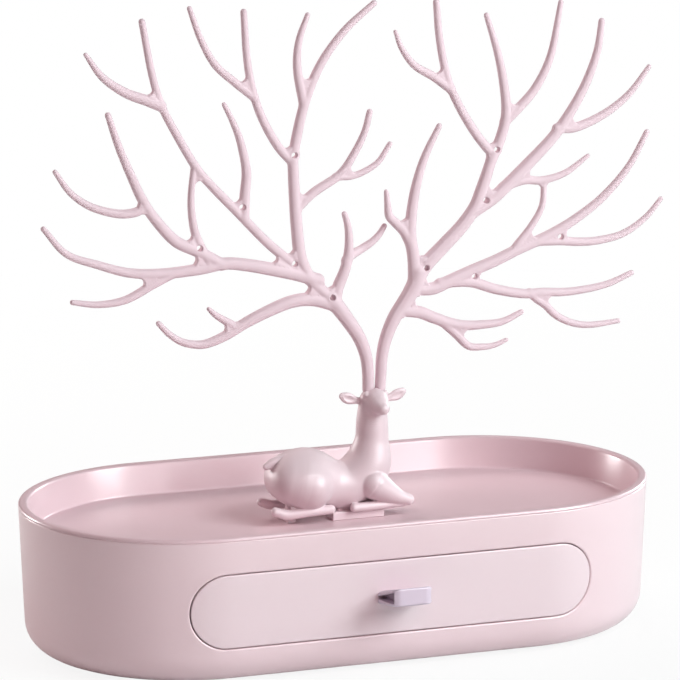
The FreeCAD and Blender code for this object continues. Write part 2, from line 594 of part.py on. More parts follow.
RIGHT_BRANCHES = {
    "trunk": (2.05, 3.33, [(peg_offset, 0), (2.7, 5.5), (3.1, 11.7), (4.6, 18.5), (7.9, 26), (12.5, 32.5),
                           (16.1, 38), (17.4, 43)]),
    "middle": (2.4, 1.1, [(16, 39), (15.6, 48), (14.3, 57), (14.9, 66), (16.7, 75.9), (20.1, 86.2),
                          (25.6, 97)]),
    "middle_twig": (2.08, 0.89, [(14.5, 53.5), (11.8, 58.5), (8.3, 62), (5.9, 64.6), (5.3, 69),
                                 (4.8, 73.8)]),
    "riser": (2.83, 1.96, [(15, 36.5), (20, 44.8), (27.1, 51.7), (34.6, 58.9), (39.8, 65.7), (42.3, 71.7),
                           (44.6, 78.1), (47.2, 85.8)]),
    "top_left": (1.75, 1.27, [(46.8, 85), (40.3, 93), (34.1, 102.8), (29.5, 112.3), (27.1, 121),
                              (25.3, 131.5), (24.3, 142.9)]),
    "top_left_twig": (1.77, 0.8, [(30.1, 110.4), (23.5, 115.3), (15.9, 119.9), (10.9, 126.3),
                                  (8.3, 132.8)]),
    "top_right": (2.07, 1.03, [(46.4, 83.4), (50.1, 91.5), (52.1, 100), (51.3, 110), (48.7, 122.5),
                               (44.1, 137.1)]),
    "top_right_twig": (1.82, 1.01, [(51.5, 96.9), (57.2, 102), (64.1, 109.5), (69.9, 121.3),
                                    (73.7, 140.6)]),
    "outer": (2.43, 1.24, [(40, 64.5), (47.1, 68.7), (53.2, 73.7), (61.2, 80.9), (71.1, 90.4),
                           (78.6, 100.3), (84.5, 110.7), (88.6, 121.9), (90.2, 132.7)]),
    "outer_twig": (1.82, 0.95, [(72.5, 93.5), (80.2, 93.4), (91.5, 97.7), (101.6, 104.8), (109.7, 114.7)]),
    "outer_low_twig": (1.76, 0.84, [(51, 72.6), (59.5, 74.7), (66.8, 74.2), (76.2, 76.5), (85.2, 82.4)]),
    "link": (1.14, 1.51, [(67.5, 74.3), (66.9, 65), (63, 57.8), (56.5, 50)]),
    "low": (2.36, 1.08, [(16, 36.5), (23.3, 36.2), (30.1, 38.7), (39.2, 42), (48.1, 45), (57, 48.6),
                         (65, 51.4), (73.2, 54.9), (81.5, 59.4), (91.7, 66.6), (101.8, 77.3), (109.1, 90)]),
    "low_twig": (1.77, 0.93, [(65, 51.2), (74, 50.8), (81, 50), (88.9, 49.9), (99.6, 51.8), (108.8, 57.3),
                              (115.2, 64.2)]),
    "under": (2.04, 1.09, [(26, 37.9), (33, 38.1), (39.6, 37.3), (48.3, 34.2), (59.5, 31.7), (67, 31.7),
                           (78.5, 31.2), (92.7, 32.8), (103.5, 36.6)]),
    "under_twig": (1.57, 0.97, [(62, 32), (65, 29.2), (68.4, 26.8), (72.8, 22.5), (79.2, 19.2),
                                (86.8, 17.8), (98.3, 18.5)]),
    "hanging": (2.35, 1.03, [(11.5, 28.8), (18, 27.6), (23, 25.4), (29, 23), (35.4, 21.4), (43, 21.1),
                             (51.2, 21.7), (58.8, 24.8)]),
    "hanging_twig": (1.8, 0.8, [(26, 24.4), (32.4, 18.4), (37.5, 13.4), (43, 12.6), (48, 12.9),
                                (52.8, 14.6)]),
}
RIGHT_HOLES = [(48, 87), (43.7, 68.3), (19.9, 44.5), (39.4, 39.9), (74, 52.5)]


def nearest(line, point):
    return line.value(line.parameter(point))


NARROWEST_FORK = math.radians(9)      # half angles between which a fork gets a web
WIDEST_FORK = math.radians(72)
SETTLING_STEPS = 15
SETTLING_SHARE = 0.7


def fork_webs(twig_line, limb_line):
    """Flat plates in the two corners between a twig and its limb, each with a round inner edge."""
    reach = crotch_radius + limb_radius
    start = twig_line.value(twig_line.FirstParameter)
    root = nearest(limb_line, start)
    root.y = 0
    away = nearest(twig_line, root + tangent_at(twig_line, start) * (2 * reach)) - root
    along = tangent_at(limb_line, root)
    plates = []
    for sense in (1, -1):
        ahead = nearest(limb_line, root + along * (sense * 2 * reach)) - root
        if min(ahead.Length, away.Length) < reach:
            continue
        half = ahead.getAngle(away) / 2
        if not NARROWEST_FORK < half < WIDEST_FORK:
            continue
        middle = V(ahead).normalize() + V(away).normalize()
        centre = root + middle.normalize() * (reach / math.sin(half))
        for step in range(SETTLING_STEPS):
            for line in (twig_line, limb_line):
                foot = nearest(line, centre)
                outward = V(centre.x - foot.x, 0, centre.z - foot.z)
                short = reach - centre.distanceToPoint(foot)
                centre = centre + outward.normalize() * (short * SETTLING_SHARE)
        feet = [nearest(line, centre) for line in (twig_line, limb_line)]
        for point in feet + [centre]:
            point.y = 0
        if (centre - root).Length > longest_web or (feet[0] - feet[1]).Length < limb_radius:
            continue
        ends = [centre + (foot - centre).normalize() * crotch_radius for foot in feet]
        top = centre + (root - centre).normalize() * crotch_radius
        edges = [Part.makeLine(root, feet[0]), Part.makeLine(feet[0], ends[0]),
                 Part.Arc(ends[0], top, ends[1]).toShape(), Part.makeLine(ends[1], feet[1]),
                 Part.makeLine(feet[1], root)]
        plate = Part.Face(Part.Wire(Part.__sortEdges__(edges))).extrude(V(0, web_thickness, 0))
        plate.translate(V(0, -web_thickness / 2, 0))
        plates.append(plate)
    return plates


def antler(branches, holes, side):
    """Branches, webs in the forks, an eye round each earring hole, and a peg below the trunk's shoulder."""
    paths = {}
    lines = {}
    solids = []
    for name, (start, tip, places) in branches.items():
        paths[name] = [V(crown_x + p[0], p[2] if len(p) > 2 else 0, crown_z + p[1]) for p in places]
        lines[name] = smooth_line(paths[name])
        solids.append(twig(lines[name], start, tip))
    for name in branches:
        runs = [lines[name]]
        if name == "link":
            runs.append(smooth_line(paths[name][::-1]))
        for own in runs:
            root = own.value(own.FirstParameter)
            gaps = [(nearest(other, root).distanceToPoint(root), key)
                    for key, other in lines.items() if key != name]
            gap, limb = min(gaps)
            if name != "trunk" and gap < 2 * limb_radius and abs(root.y) < 0.5:
                solids += fork_webs(own, lines[limb])
    for x, z in holes:
        solids.append(bar_along_y(earring_eye_radius, crown_x + x, crown_z + z,
                                  -web_thickness / 2, web_thickness / 2))
    peg_x = crown_x + side * peg_offset
    solids.append(post(peg_radius, peg_x, 0, crown_z - peg_length, crown_z + 2))
    whole = join(solids)
    for x, z in holes:
        whole = whole.cut(bar_along_y(earring_hole_radius, crown_x + x, crown_z + z, -6, 6))
    return whole


save("antler_left", antler(LEFT_BRANCHES, LEFT_HOLES, -1))
save("antler_right", antler(RIGHT_BRANCHES, RIGHT_HOLES, 1))
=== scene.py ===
import json
import math

import bmesh
import bpy
import numpy as np
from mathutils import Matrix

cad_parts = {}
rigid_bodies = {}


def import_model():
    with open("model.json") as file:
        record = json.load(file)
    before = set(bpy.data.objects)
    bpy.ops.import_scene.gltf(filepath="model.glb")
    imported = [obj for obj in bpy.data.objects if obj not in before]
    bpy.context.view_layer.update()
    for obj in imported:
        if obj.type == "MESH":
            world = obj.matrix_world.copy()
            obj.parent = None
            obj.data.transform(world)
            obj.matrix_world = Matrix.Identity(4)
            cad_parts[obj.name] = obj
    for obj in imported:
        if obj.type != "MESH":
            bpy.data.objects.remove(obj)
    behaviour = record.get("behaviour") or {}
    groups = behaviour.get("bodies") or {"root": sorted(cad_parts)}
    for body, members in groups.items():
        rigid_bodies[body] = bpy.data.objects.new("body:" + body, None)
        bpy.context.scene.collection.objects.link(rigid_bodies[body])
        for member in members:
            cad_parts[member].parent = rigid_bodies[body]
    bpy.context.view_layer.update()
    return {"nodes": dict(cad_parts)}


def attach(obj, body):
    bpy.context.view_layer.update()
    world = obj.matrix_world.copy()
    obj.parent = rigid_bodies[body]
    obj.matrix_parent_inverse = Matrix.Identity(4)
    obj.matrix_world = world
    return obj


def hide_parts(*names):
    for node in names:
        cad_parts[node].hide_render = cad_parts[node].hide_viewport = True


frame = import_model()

import openvdb
from mathutils import Matrix, Vector
from mathutils.kdtree import KDTree

mm = 0.001
scene = bpy.context.scene

# ---------------------------------------- room: camera, lights, floor
# A product table: a pale seamless floor in an even white surround. One large soft lamp stands at the
# right front with weaker ones round it, and five small cards show only as gloss on the satin plastic.

sensor_mm, focal_px, picture_px = 36.0, 4373.574, 680.0
camera_data = bpy.data.cameras.new("camera")
camera_data.sensor_width = sensor_mm
camera_data.lens = focal_px * sensor_mm / picture_px
camera_data.clip_end = 20.0
camera = bpy.data.objects.new("camera", camera_data)
scene.collection.objects.link(camera)
yaw, pitch, roll = 0.350081533, 0.209616222, 0.00151651855
forward = Vector((math.sin(yaw) * math.cos(pitch), math.cos(yaw) * math.cos(pitch), -math.sin(pitch)))
level_right = Vector((math.cos(yaw), -math.sin(yaw), 0))
level_down = forward.cross(level_right)
right = level_right * math.cos(roll) + level_down * math.sin(roll)
down = forward.cross(right)
turn = Matrix((right, -down, -forward)).transposed().to_4x4()
camera.matrix_world = Matrix.Translation((-0.539086, -1.480893, 0.445585)) @ turn
scene.camera = camera
scene.view_settings.view_transform = "Standard"
lamp_aim = Vector((0, 0, 0.05))


def area_lamp(name, place, width, height, watts, colour, matte=True, gloss=True):
    """Rectangular lamp turned to the stand; matte and gloss say which light it gives."""
    data = bpy.data.lights.new(name, "AREA")
    data.shape = "RECTANGLE"
    data.size = width
    data.size_y = height
    data.energy = watts
    data.color = colour
    lamp = bpy.data.objects.new(name, data)
    lamp.location = place
    lamp.rotation_euler = (lamp_aim - Vector(place)).to_track_quat("-Z", "Y").to_euler()
    lamp.visible_diffuse = matte
    lamp.visible_glossy = gloss
    scene.collection.objects.link(lamp)


area_lamp("key", (0.85, -0.95, 0.9), 0.9, 0.9, 24.5, (0.88, 1.0, 0.985))
area_lamp("right", (1.3, -0.1, 0.5), 0.7, 0.7, 2.0, (0.75, 0.97, 1.0))
area_lamp("front", (-0.2, -1.3, 0.9), 0.9, 0.7, 5.0, (1.0, 0.62, 0.65))
area_lamp("rear_strip", (-0.25, 1.0, 0.8), 1.4, 0.5, 11.8, (1.0, 0.95, 0.93), gloss=False)
area_lamp("rear_left", (-0.9, 0.9, 0.5), 0.6, 0.6, 4.7, (1.0, 0.82, 0.78), gloss=False)
area_lamp("card_right", (0.78, -0.84, 0.5), 0.5, 0.45, 22.0, (1.0, 0.98, 1.0), matte=False)
area_lamp("card_front", (0.4, -1.2, 0.26), 0.18, 0.4, 2.0, (1.0, 0.98, 1.0), matte=False)
area_lamp("card_rear_right", (1.1, 0.6, 0.4), 0.5, 0.5, 9.0, (1.0, 0.98, 1.0), matte=False)
area_lamp("card_front_high", (0.42, -1.05, 0.62), 0.7, 0.6, 3.0, (1.0, 0.98, 1.0), matte=False)
area_lamp("card_rear_left", (-0.69, 0.9, 0.22), 0.3, 0.3, 9.0, (1.0, 0.98, 0.98), matte=False)


def wire(tree, node, values=None, *sources, **links):
    """Sets a node's properties and sockets; sources fill its sockets in order, links go by socket name."""
    for label, value in (values or {}).items():
        if isinstance(label, str) and hasattr(node, label):
            setattr(node, label, value)
        else:
            node.inputs[label].default_value = value
    for socket, source in zip(node.inputs, sources):
        if source is not None:
            tree.links.new(source, socket)
    for label, source in links.items():
        tree.links.new(source, node.inputs[label.replace("_", " ")])
    return node


def add(tree, kind, values=None, *sources, **links):
    """New node of a kind, set and linked as in wire."""
    return wire(tree, tree.nodes.new(kind), values, *sources, **links)


world = bpy.data.worlds.new("surround")
scene.world = world
world.use_nodes = True
tree = world.node_tree
tree.nodes.clear()
ambient = add(tree, "ShaderNodeBackground", {"Color": (1.0, 0.98, 0.985, 1), "Strength": 0.03})
seen = add(tree, "ShaderNodeBackground", {"Color": (1, 1, 1, 1)})
path = add(tree, "ShaderNodeLightPath")
mix = add(tree, "ShaderNodeMixShader", None, path.outputs["Is Camera Ray"], ambient.outputs[0],
          seen.outputs[0])
add(tree, "ShaderNodeOutputWorld", Surface=mix.outputs[0])


def build(name, vertices, faces, smooth_angle=35.0):
    """Object from vertices in millimetres: doubles merged, faces turned out, smooth but for sharp edges."""
    mesh = bpy.data.meshes.new(name)
    points = [tuple(v) for v in np.asarray(vertices, float) * mm]
    mesh.from_pydata(points, [], [tuple(map(int, f)) for f in faces])
    work = bmesh.new()
    work.from_mesh(mesh)
    bmesh.ops.remove_doubles(work, verts=work.verts, dist=1e-6)
    bmesh.ops.dissolve_degenerate(work, edges=work.edges, dist=1e-7)
    bmesh.ops.recalc_face_normals(work, faces=work.faces)
    for face in work.faces:
        face.smooth = True
    for edge in work.edges:
        sharp = len(edge.link_faces) == 2 and edge.calc_face_angle(0) > math.radians(smooth_angle)
        edge.smooth = not sharp
    work.to_mesh(mesh)
    work.free()
    obj = bpy.data.objects.new(name, mesh)
    scene.collection.objects.link(obj)
    return obj


def box_corners(x0, x1, y0, y1, z):
    return [(x0, y0, z), (x1, y0, z), (x1, y1, z), (x0, y1, z)]


floor_half = 4000.0
floor = build("floor", box_corners(-floor_half, floor_half, -floor_half, floor_half, 0), [(0, 1, 2, 3)])
paint = bpy.data.materials.new("floor_white")
# The glow is only for the camera's own view of the floor, so it isn't sampled as a lamp.
paint.cycles.emission_sampling = "NONE"
paint.use_nodes = True
tree = paint.node_tree
tree.nodes.clear()
matte = add(tree, "ShaderNodeBsdfDiffuse", {"Color": (0.8, 0.8, 0.8, 1)})
glow = add(tree, "ShaderNodeEmission", {"Color": (1, 1, 1, 1)})
path = add(tree, "ShaderNodeLightPath")
place = add(tree, "ShaderNodeTexCoord")
away = add(tree, "ShaderNodeVectorMath", {"operation": "LENGTH"}, place.outputs["Object"])
fade = add(tree, "ShaderNodeMapRange", {"From Min": 0.2, "From Max": 0.7, "To Min": 0.88, "To Max": 1.0},
           Value=away.outputs["Value"])
share = add(tree, "ShaderNodeMath", {"operation": "MULTIPLY"}, path.outputs["Is Camera Ray"], fade.outputs[0])
both = add(tree, "ShaderNodeMixShader", None, share.outputs[0], matte.outputs[0], glow.outputs[0])
add(tree, "ShaderNodeOutputMaterial", Surface=both.outputs[0])
floor.data.materials.append(paint)

# ---------------------------------------- casing
# Lower tub of the box, injection moulded in satin pale-pink ABS, with a drafted wall, a rounded
# underside and an obround drawer opening whose edge is softly rounded.

length, width = 240.0, 122.0
bottom_z, seam_z = 0.8, 53.9
draft, wall = 2.1, 2.2
end_r = width / 2
half_run = (length - width) / 2
edge_r, inner_edge_r = 10.5, 8.3
inner_floor_z, inner_from_z = 3.2, 20.0
land, rebate = 1.2, 5.3
drawer_x, drawer_z = 1.2, 27.95
opening_half, opening_rise = 77.5, 13.95
patch_half, patch_rise, levels = 86.0, 16.6, 14


def linear(rgb):
    """sRGB 0-255 to the linear colour that a shader takes."""
    shares = [value / 255.0 for value in rgb]
    return (*(c / 12.92 if c <= 0.04045 else ((c + 0.055) / 1.055) ** 2.4 for c in shares), 1.0)


def shaded(name):
    """New material, its node tree and its main shader."""
    material = bpy.data.materials.new(name)
    material.use_nodes = True
    return material, material.node_tree, material.node_tree.nodes["Principled BSDF"]


def satin_plastic(name, rgb, seed, roughness=0.32, mottle=0.02, grain=0.03, coat=0.15, shine=0.5):
    """Moulded plastic: faint flow mottling in the colour, uneven gloss and a fine grain."""
    material, tree, shader = shaded(name)
    place = add(tree, "ShaderNodeTexCoord")
    shift = add(tree, "ShaderNodeMapping", {"Location": (seed * 0.37, seed * 0.21, seed * 0.13)},
                Vector=place.outputs["Object"])
    flow, gloss, fine = [add(tree, "ShaderNodeTexNoise", {"Scale": scale, "Detail": detail},
                             Vector=shift.outputs[0])
                         for scale, detail in ((22.0, 3.0), (60.0, 2.0), (2600.0, 2.0))]
    base = linear(rgb)[:3]
    darker = tuple(c * (1 - mottle) for c in base) + (1,)
    lighter = tuple(min(1, c * (1 + mottle)) for c in base) + (1,)
    tint = add(tree, "ShaderNodeMix", {"data_type": "RGBA", 6: darker, 7: lighter}, flow.outputs["Fac"])
    sheen = add(tree, "ShaderNodeMapRange", {"To Min": roughness - 0.035, "To Max": roughness + 0.035},
                Value=gloss.outputs["Fac"])
    bump = add(tree, "ShaderNodeBump", {"Strength": grain, "Distance": 0.0002}, Height=fine.outputs["Fac"])
    wire(tree, shader, {"Specular IOR Level": shine, "Coat Weight": coat, "Coat Roughness": 0.18},
         Base_Color=tint.outputs[2], Roughness=sheen.outputs[0], Normal=bump.outputs[0])
    return material


def soft_profile(corners, steps=6):
    """Corner list (u, v, radius) to points, each corner rounded by an arc."""
    points = []
    for i, (u, v, radius) in enumerate(corners):
        here = np.array((u, v), float)
        if radius == 0 or i in (0, len(corners) - 1):
            points.append(here)
            continue
        a = np.array(corners[i - 1][:2], float) - here
        b = np.array(corners[i + 1][:2], float) - here
        a /= np.linalg.norm(a)
        b /= np.linalg.norm(b)
        half = math.acos(max(-1, min(1, float(a @ b)))) / 2
        reach = radius / math.tan(half)
        centre = here + (a + b) / np.linalg.norm(a + b) * (radius / math.sin(half))
        start, end = here + a * reach - centre, here + b * reach - centre
        sweep = math.pi - 2 * half
        sense = 1 if start[0] * end[1] - start[1] * end[0] > 0 else -1
        for k in range(steps + 1):
            t = sense * sweep * k / steps
            points.append(centre + (start[0] * math.cos(t) - start[1] * math.sin(t),
                                    start[0] * math.sin(t) + start[1] * math.cos(t)))
    return np.array(points)


def obround_rim(run, end_steps, rear_steps, front_steps):
    """Stations round the obround, counter-clockwise: place on the middle line, then outward x and y."""
    stations = []
    for side, run_steps in ((1, rear_steps), (-1, front_steps)):
        for k in range(end_steps):
            a = -side * math.pi / 2 + math.pi * k / end_steps
            stations.append((side * run, math.cos(a), math.sin(a)))
        for k in range(run_steps):
            stations.append((side * (run - 2 * run * k / run_steps), 0.0, float(side)))
    return stations


def carry(profile, stations, place):
    """Carries an open profile (distance, level) round the stations; place turns both into a point."""
    vertices = []
    for d, v in profile:
        vertices += [place(m, ox, oy, d, v) for m, ox, oy in stations]
    n, faces = len(stations), []
    for i in range(len(profile) - 1):
        for j in range(n):
            k = (j + 1) % n
            faces.append((i * n + j, i * n + k, (i + 1) * n + k, (i + 1) * n + j))
    return vertices, faces


def on_plan(m, ox, oy, d, v):
    return (m + ox * d, oy * d, v)


def reach_at(z):
    """From the middle line to the casing's outer face at height z."""
    return end_r - draft * (1 - (z - bottom_z) / (seam_z - bottom_z))


def on_front(x, z, inward):
    """Point on the front wall at x, z, moved inward square to the obround."""
    r = reach_at(z)
    over = abs(x) - half_run
    if over <= 0:
        return (x, -r + inward, z)
    y = -math.sqrt(r * r - over * over)
    k = inward / r
    return (x - math.copysign(over * k, x), y - y * k, z)


outer = soft_profile([(0, bottom_z, 0), (reach_at(bottom_z), bottom_z, edge_r), (end_r, seam_z, 0.4),
                      (end_r - land, seam_z, 0)], 10)
inner = soft_profile([(reach_at(inner_from_z) - wall, inner_from_z, 0),
                      (reach_at(inner_floor_z) - wall, inner_floor_z, inner_edge_r),
                      (0, inner_floor_z, 0)], 8)
patch_low, patch_high, row_clear = drawer_z - patch_rise, drawer_z + patch_rise, 0.3
rebate_z = seam_z - rebate
profile = [p for p in outer if p[1] < patch_low - row_clear]
outer_first = len(profile)
profile += [(reach_at(z), z) for z in np.linspace(patch_low, patch_high, levels)]
profile += [p for p in outer if p[1] > patch_high + row_clear]
profile += [(end_r - land, rebate_z), (reach_at(rebate_z) - wall, rebate_z)]
inner_first = len(profile)
profile += [(reach_at(z) - wall, z) for z in np.linspace(patch_high, patch_low, levels)]
profile += [tuple(p) for p in inner if p[1] < patch_low - row_clear]
stations = obround_rim(half_run, 72, 24, 48)
vertices, faces = carry(profile, stations, on_plan)
n = len(stations)


def wall_station_x(j):
    m, ox, oy = stations[j % n]
    return m + ox * end_r


span = [j for j in range(n) if stations[j][2] < 0 and abs(wall_station_x(j)) <= patch_half]
span.sort(key=wall_station_x)
in_patch = set(zip(span[:-1], span[1:]))


def patch_border(first, step):
    """Border of the wall's patch, corner to corner, as vertex numbers; step tells which way its rows run."""
    rows = [first + k for k in range(levels)][::step]
    border = [rows[0] * n + j for j in span]
    border += [r * n + span[-1] for r in rows[1:]]
    border += [rows[-1] * n + j for j in span[::-1][1:]]
    border += [r * n + span[0] for r in rows[::-1][1:-1]]
    return border


drop = set()
for first in (outer_first, inner_first):
    for i in range(first, first + levels - 1):
        for a, b in in_patch:
            drop.add((i, min(a, b) if abs(a - b) == 1 else max(a, b)))
faces = [f for index, f in enumerate(faces) if (index // n, index % n) not in drop]


def hole_point(x, z, grow):
    """The opening's outline, grown outwards, in the direction of (x, z) from its nearest middle point."""
    m = max(-(opening_half - opening_rise), min(opening_half - opening_rise, x - drawer_x))
    direction = Vector((x - drawer_x - m, z - drawer_z)).normalized()
    return drawer_x + m + direction.x * (opening_rise + grow), drawer_z + direction.y * (opening_rise + grow)


def ring_around(border, rings):
    """Faces from the patch's border to the opening: rings of (growth, inward)."""
    last = border
    for grow, inward in rings:
        start = len(vertices)
        for b in border:
            x, z = hole_point(vertices[b][0], vertices[b][2], grow)
            vertices.append(on_front(x, z, inward))
        ring = list(range(start, start + len(border)))
        for k in range(len(ring)):
            m = (k + 1) % len(ring)
            faces.append((last[k], last[m], ring[m], ring[k]))
        last = ring


lip, frame_r, meet = 0.55, 1.6, wall - 0.3
rings = [(frame_r, 0.0), (lip, 0.0)]
rings += [(lip * (1 - math.sin(a)), lip * (1 - math.cos(a))) for a in np.linspace(0.2, math.pi / 2, 6)]
ring_around(patch_border(outer_first, 1), rings + [(0.0, meet)])
ring_around(patch_border(inner_first, -1), [(frame_r, wall), (0.3, wall), (0.0, meet)])
casing = build("casing", vertices, faces)
shell_pink = satin_plastic("shell_pink", (226, 202, 208), 1)
casing.data.materials.append(shell_pink)
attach(casing, "base")
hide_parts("casing")

# ---------------------------------------- tray
# Moulded top of the box in satin pink plastic: a flat lip with a rounded edge, a leaning inner wall
# and a sunk floor, with a skirt that drops inside the casing, two sockets that take the deer's plugs,
# four screw posts and two ribs that stop the drawer.

rim_z, floor_z = 55.3, 43.3
lip_width, skirt_gap, skirt_z = 3.3, 1.35, seam_z - 5.0
floor_reach = end_r - 5.75
under_z = floor_z - 2.2
flat_border = 4
tray_profile = soft_profile([(floor_reach - flat_border, under_z, 0), (floor_reach + 1.9, under_z, 1.5),
                             (end_r - 3.0, skirt_z, 0), (end_r - skirt_gap, skirt_z, 0),
                             (end_r - skirt_gap, seam_z, 0), (end_r, seam_z, 0.3), (end_r, rim_z, 1.0),
                             (end_r - lip_width, rim_z, 1.4), (floor_reach, floor_z, 1.0),
                             (floor_reach - flat_border, floor_z, 0)], 8)
rim_stations = obround_rim(half_run, 96, 40, 40)
vertices, faces = carry(tray_profile, rim_stations, on_plan)
last_ring = len(vertices) - len(rim_stations)


def new_loop(points):
    """Adds points to the tray's vertices and gives their numbers."""
    start = len(vertices)
    vertices.extend(points)
    return list(range(start, len(vertices)))


def sink(loop, z):
    """Walls from a loop of vertex numbers down to height z, and a face that closes them there."""
    ring = new_loop([(vertices[i][0], vertices[i][1], z) for i in loop])
    for k in range(len(loop)):
        m = (k + 1) % len(loop)
        faces.append((loop[k], loop[m], ring[m], ring[k]))
    faces.append(tuple(ring))


plug_inset = 2.2


def plug_plan(foot, grow):
    """Plan of the plug under a foot, grown for its socket."""
    x0, x1, y0, y1 = foot
    inset = min(plug_inset, (x1 - x0) / 4)
    return x0 + inset - grow, x1 - inset + grow, y0 + plug_inset - grow, y1 - plug_inset + grow


deer_feet = ((-3.5, 16.8, -6.2, 5.0), (-20.4, -17.0, -3.6, 5.0))
plug_room, socket_room = 0.12, 1.32
flats = ((floor_z, last_ring, plug_room, floor_z - 4.3), (under_z, 0, socket_room, under_z - 3))
for level, first, grow, end in flats:
    loops = [list(range(first, first + len(rim_stations)))]
    for foot in deer_feet:
        loops.append(new_loop(box_corners(*plug_plan(foot, grow), level)))
        sink(loops[-1], end)
    filler = bmesh.new()
    made = {}
    for loop in loops:
        for i in loop:
            made[i] = filler.verts.new(vertices[i])
        for k, i in enumerate(loop):
            filler.edges.new((made[i], made[loop[(k + 1) % len(loop)]]))
    numbers = {corner: i for i, corner in made.items()}
    filled = bmesh.ops.triangle_fill(filler, edges=filler.edges[:], use_beauty=True, use_dissolve=False)
    for face in [g for g in filled["geom"] if isinstance(g, bmesh.types.BMFace)]:
        faces.append(tuple(numbers[v] for v in face.verts))
    filler.free()
post_r, rooted = 3.4, 0.5
post_places = [(x, y) for x in (88.0, -88.0) for y in (25.986, -25.986)]
rib_x, rib_half, rib_back, rib_front, rib_drop = 65, 5, -49.8, -51.8, 3
for x, y in post_places:
    circle = [(x + post_r * math.cos(a), y + post_r * math.sin(a)) for a in np.arange(32) * math.pi / 16]
    top = new_loop([(u, v, under_z + rooted) for u, v in circle])
    faces.append(tuple(top))
    sink(top, drawer_z)
for x in (drawer_x - rib_x, drawer_x + rib_x):
    top = new_loop(box_corners(x - rib_half, x + rib_half, rib_front, rib_back, under_z + rooted))
    faces.append(tuple(top))
    sink(top, under_z - rib_drop)
tray = build("tray", vertices, faces)
tray_pink = satin_plastic("tray_pink", (216, 188, 195), 2, roughness=0.33)
tray.data.materials.append(tray_pink)
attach(tray, "base")
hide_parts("tray")

# ---------------------------------------- drawer front
# Obround panel in the casing's satin plastic. It follows the casing's wall and lies flush in the
# opening with an even gap, held by four screws from inside the drawer.

gap, panel_thick = 0.4, 2.2
panel_half, panel_rise = opening_half - gap, opening_rise - gap
panel_edge = soft_profile([(0, 0, 0), (panel_rise, 0, 0.45), (panel_rise, panel_thick, 0.2),
                           (0, panel_thick, 0)], 6)


def on_panel(m, ox, oy, d, v):
    return on_front(drawer_x + m + ox * d, drawer_z + oy * d, v)


face_steps = np.linspace(0, panel_rise - 0.9, 8)[:-1]
back_steps = np.linspace(panel_rise - 0.9, 0, 8)[1:]
panel_profile = [(d, 0.0) for d in face_steps] + [tuple(p) for p in panel_edge[1:-1]]
panel_profile += [(d, panel_thick) for d in back_steps]
vertices, faces = carry(panel_profile, obround_rim(panel_half - panel_rise, 48, 64, 64), on_panel)
panel = build("drawer_front", vertices, faces)
panel.data.materials.append(satin_plastic("panel_pink", (227, 207, 213), 3))
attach(panel, "drawer")
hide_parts("drawer_front")

# ---------------------------------------- drawer box
# Plain moulded bin behind the front, in the same plastic but with a duller, slightly uneven skin,
# as inner mouldings come straight from the tool.

bin_pink = satin_plastic("bin_pink", (219, 196, 203), 5, roughness=0.4)
bin_node = frame["nodes"]["drawer_box"]
bin_node.data.materials.clear()
bin_node.data.materials.append(bin_pink)

# ---------------------------------------- screws and pads
# Zinc-plated pan-head screws with a cut thread hold the tray, the drawer front and the pull; four
# soft round pads sit in recesses under the casing. Each set is one shape placed at its points.


def node_group(name, *sizes):
    """Geometry node group with named size inputs; also gives its input sockets and its output node."""
    group = bpy.data.node_groups.new(name, "GeometryNodeTree")
    group.interface.new_socket("Places", in_out="INPUT", socket_type="NodeSocketGeometry")
    for size in sizes:
        group.interface.new_socket(size, in_out="INPUT", socket_type="NodeSocketFloat")
    group.interface.new_socket("Turn", in_out="INPUT", socket_type="NodeSocketRotation")
    group.interface.new_socket("Finish", in_out="INPUT", socket_type="NodeSocketMaterial")
    group.interface.new_socket("Made", in_out="OUTPUT", socket_type="NodeSocketGeometry")
    return group, group.nodes.new("NodeGroupInput").outputs, group.nodes.new("NodeGroupOutput")


def scaled(group, source, factor):
    """Number from a socket times a factor."""
    return add(group, "ShaderNodeMath", {"operation": "MULTIPLY", 1: factor}, source).outputs[0]


def raised(group, part, height):
    """Shape moved up by a height."""
    shift = add(group, "ShaderNodeCombineXYZ", Z=height)
    return add(group, "GeometryNodeTransform", Geometry=part.outputs[0], Translation=shift.outputs[0])


def joined(group, *parts):
    whole = add(group, "GeometryNodeJoinGeometry")
    for part in parts:
        group.links.new(part.outputs[0], whole.inputs[0])
    return whole


def finish_group(group, given, leave, shape):
    """Places the shape on every point, turned and realised, with the finish set."""
    points = add(group, "GeometryNodeMeshToPoints", Mesh=given["Places"])
    spread = add(group, "GeometryNodeInstanceOnPoints", Points=points.outputs[0], Instance=shape.outputs[0],
                 Rotation=given["Turn"])
    real = add(group, "GeometryNodeRealizeInstances", Geometry=spread.outputs[0])
    done = add(group, "GeometryNodeSetMaterial", Geometry=real.outputs[0], Material=given["Finish"])
    group.links.new(done.outputs[0], leave.inputs["Made"])


def placed_set(name, group, points, settings, material, turn=(0, 0, 0)):
    """Runs a node group on a point cloud of places and keeps the plain mesh it makes."""
    cloud = bpy.data.meshes.new(name + "_places")
    cloud.from_pydata([tuple(c * mm for c in p) for p in points], [], [])
    holder = bpy.data.objects.new(name + "_holder", cloud)
    scene.collection.objects.link(holder)
    modifier = holder.modifiers.new("set", "NODES")
    modifier.node_group = group
    values = {label: size * mm for label, size in settings.items()}
    values.update(Turn=turn, Finish=material)
    for item in group.interface.items_tree:
        if item.item_type == "SOCKET" and item.in_out == "INPUT" and item.name in values:
            modifier[item.identifier] = values[item.name]
    result = holder.evaluated_get(bpy.context.evaluated_depsgraph_get())
    mesh = bpy.data.meshes.new_from_object(result)
    bpy.data.objects.remove(holder)
    obj = bpy.data.objects.new(name, mesh)
    scene.collection.objects.link(obj)
    return obj


